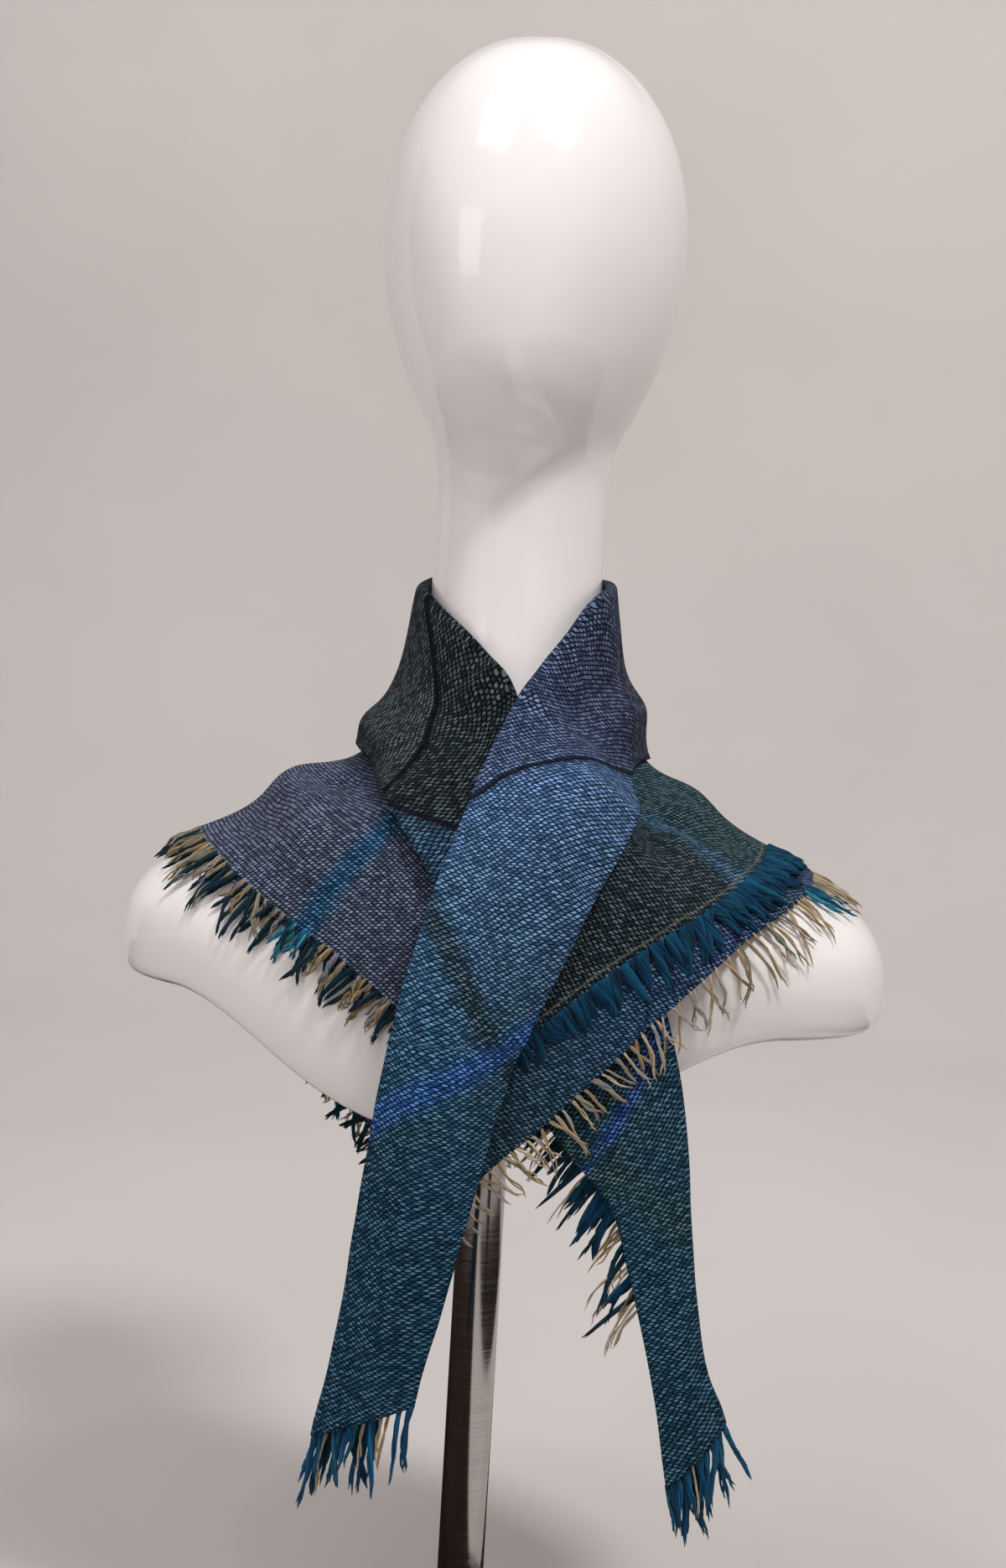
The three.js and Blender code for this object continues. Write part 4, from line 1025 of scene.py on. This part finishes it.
def bandFringe(name, place, across, step, above, length, choices, seed):
    # roots where the band ends, tips along the way it runs; step is the direction in places and in across
    rng = np.random.default_rng(seed)
    count = len(place)
    root = bandEdge(place, across, above)
    ahead = unit(bandEdge(place + step[0], across + step[1], above) - root)
    beside = unit(bandEdge(place, across + 0.02, above) - bandEdge(place, across - 0.02, above))
    outward = unit(np.cross(ahead, beside))
    outward = outward * np.sign(-outward[:, 1:2])
    t = np.linspace(0, 1, strandSteps)[None, :, None]
    lengths = (length * rng.uniform(0.7, 1.12, count))[:, None, None]
    swing = rng.normal(0, 0.16, count)[:, None, None]
    bend = rng.normal(0, 0.2, count)[:, None, None]
    lifting = rng.uniform(-0.02, 0.12, count)[:, None, None]
    travel = (ahead[:, None] + beside[:, None] * (swing + bend * t) + outward[:, None] * lifting * t
              + np.array([0, 0, -0.35]) * t)
    centres = root[:, None] - ahead[:, None] * rootDepth + unit(travel) * lengths * t
    kinds = pickKinds(rng, count, choices)
    paths, radii, colours = bundles(centres, np.broadcast_to(outward[:, None], centres.shape), kinds, rng,
                                    rng.uniform(0.8, 1.2, count))
    return addStrands(name, paths, radii, colours, looseYarn("loose wool yarn, " + name))


tipMix = [(blueLock, 0.75), (beigeYarn, 0.17), (tealLock, 0.08)]
sideMix = [(darkLock, 0.6), (beigeYarn, 0.3), (tealLock, 0.1)]
tipAcross, backAcross = np.linspace(0.04, 0.98, 13), np.linspace(0.06, 0.7, 8)
sidePlaces = np.linspace(2.4, 6.4, 46)
# name, node, places, across, step, height above the band's middle, length in mm, mix and seed
tipRuns = [
    ("fringeFrontTip", "fringe_front_tip", np.full(13, 30.0), tipAcross, (1, 0), bandRadius, 34, tipMix, 31),
    ("fringeFrontTipBack", "fringe_front_tip_back",
     np.full(8, 30.0), backAcross, (1, 0), -bandRadius, 35, tipMix, 32),
    ("fringeUnderTip", "fringe_under_tip", np.zeros(13), tipAcross, (-1, 0), bandRadius, 34, tipMix, 33),
    ("fringeUnderTipBack", "fringe_under_tip_back",
     np.zeros(8), np.linspace(0.1, 0.8, 8), (-1, 0), -bandRadius, 35, tipMix, 34),
    ("fringeUnderEndSide", "fringe_under_end_side",
     sidePlaces, np.full(46, 0.8), (-0.45, 0.9), -bandRadius, 37, sideMix, 35),
]
for name, node, *facts in tipRuns:
    piece = bandFringe(name, *facts)
    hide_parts(node)
print("end fringe made")

# studio: a pale round cove, a window light high on the right, soft fills, and two small lamps that the gloss
# head mirrors
coveSize = {"radius": 3.4, "wall": 3.2, "bend": 1.4, "steps": 24, "sides": 96}


def addCove(size):
    deselectAll()
    reach, height = size["radius"] - size["bend"], 0
    bpy.ops.mesh.primitive_circle_add(vertices=size["sides"], radius=reach, fill_type="NGON")
    cove = bpy.context.object
    cove.name = "studioCove"
    bpy.ops.object.mode_set(mode="EDIT")
    bpy.ops.mesh.select_all(action="SELECT")
    bends = [math.radians(90 * k / size["steps"]) for k in range(1, size["steps"] + 1)]
    rings = [(reach + size["bend"] * math.sin(a), size["bend"] * (1 - math.cos(a))) for a in bends]
    rings.append((size["radius"], size["wall"]))
    for nextReach, nextHeight in rings:
        bpy.ops.mesh.extrude_region_move(TRANSFORM_OT_translate={"value": (0, 0, nextHeight - height)})
        scale = nextReach / reach
        bpy.ops.transform.resize(value=(scale, scale, 1))
        reach, height = nextReach, nextHeight
    bpy.ops.mesh.delete(type="ONLY_FACE")
    bpy.ops.mesh.select_all(action="SELECT")
    bpy.ops.mesh.normals_make_consistent(inside=True)
    bpy.ops.object.mode_set(mode="OBJECT")
    bpy.ops.object.shade_smooth()
    paint = mattSurface("matt wall paint", 0.9, 0.2, 1.3, 4.0, [(0.3, "#c7c2bf"), (0.7, "#cec9c6")])
    cove.data.materials.append(paint)


addCove(coveSize)


def addLight(name, place, aim, width, height, power, colour):
    data = bpy.data.lights.new(name, "AREA")
    data.shape, data.size, data.size_y = "RECTANGLE", width, height
    data.energy, data.color = power, linear(colour)[:3]
    light = addObject(name, data)
    light.location = place
    light.rotation_euler = (Vector(aim) - Vector(place)).to_track_quat("-Z", "Y").to_euler()
    return light


# black flags that only mirrors see, for the gloss paint and the chrome: name, place, turn in degrees, width
# and height in metres
flags = [
    ("flagBehindCamera", (-0.2, -2.7, 1.0), (90, 0, 0), 2.8, 2.0),
    ("flagLeft", (-2.4, -0.4, 1.0), (90, 0, 75), 1.8, 2.0),
    ("flagFloorLeft", (-1.25, -2.2, 0.01), (0, 0, 0), 2.7, 6.0),
    ("flagFloorRight", (1.85, -2.2, 0.01), (0, 0, 0), 2.7, 6.0),
]


def addFlag(name, place, turn, width, height, cloth):
    deselectAll()
    bpy.ops.mesh.primitive_plane_add(size=1, location=place, rotation=[math.radians(v) for v in turn])
    flag = bpy.context.object
    flag.name = name
    flag.scale = (width, height, 1)
    flag.data.materials.append(cloth)
    flag.visible_camera = flag.visible_diffuse = flag.visible_shadow = flag.visible_transmission = False


flagCloth = mattSurface("black flag cloth", 0.95, 0.0, 3.0, 2.0, [(0.3, "#2a2220"), (0.7, "#3a302c")])
for flag in flags:
    addFlag(*flag, flagCloth)

# name, place, aim, width and height in metres, watts, colour
studioLights = [
    ("window light", (1.15, -1.15, 3.1), (0, 0, 0.55), 0.42, 0.42, 60, "#fafafc"),
    ("top fill", (-0.8, -1.3, 3.0), (-0.05, 0, 0.5), 1.1, 1.1, 19, "#f4f6fa"),
    ("left fill", (-1.5, -1.9, 1.3), (0, 0, 0.45), 0.9, 0.9, 4, "#f4f2ff"),
    ("wall wash", (0.0, 1.2, 2.9), (0, 2.6, 1.1), 2.2, 0.8, 36, "#fffaf6"),
    ("low fill", (-1.0, -1.1, 0.1), (-0.12, 0, 0.4), 0.6, 0.6, 3.2, "#fbf6f4"),
    ("right lamp", (0.30, -0.75, 1.9), (0, 0, 0.8), 0.08, 0.08, 1.6, "#fff6ee"),
    ("left lamp", (-0.25, -0.75, 1.95), (0, 0, 0.8), 0.08, 0.08, 1.6, "#fff6ee"),
]
unmirrored = ("wall wash", "low fill")  # these would show as spots in the gloss paint
for light in studioLights:
    lamp = addLight(*light)
    lamp.visible_glossy = light[0] not in unmirrored

studioAir = {"colour": "#f1f1f4", "strength": 0.2}
world = bpy.data.worlds.new("studio air")
scene.world = world
world.use_nodes = True
background = world.node_tree.nodes["Background"]
background.inputs["Color"].default_value = linear(studioAir["colour"])
background.inputs["Strength"].default_value = studioAir["strength"]
print("studio lit")
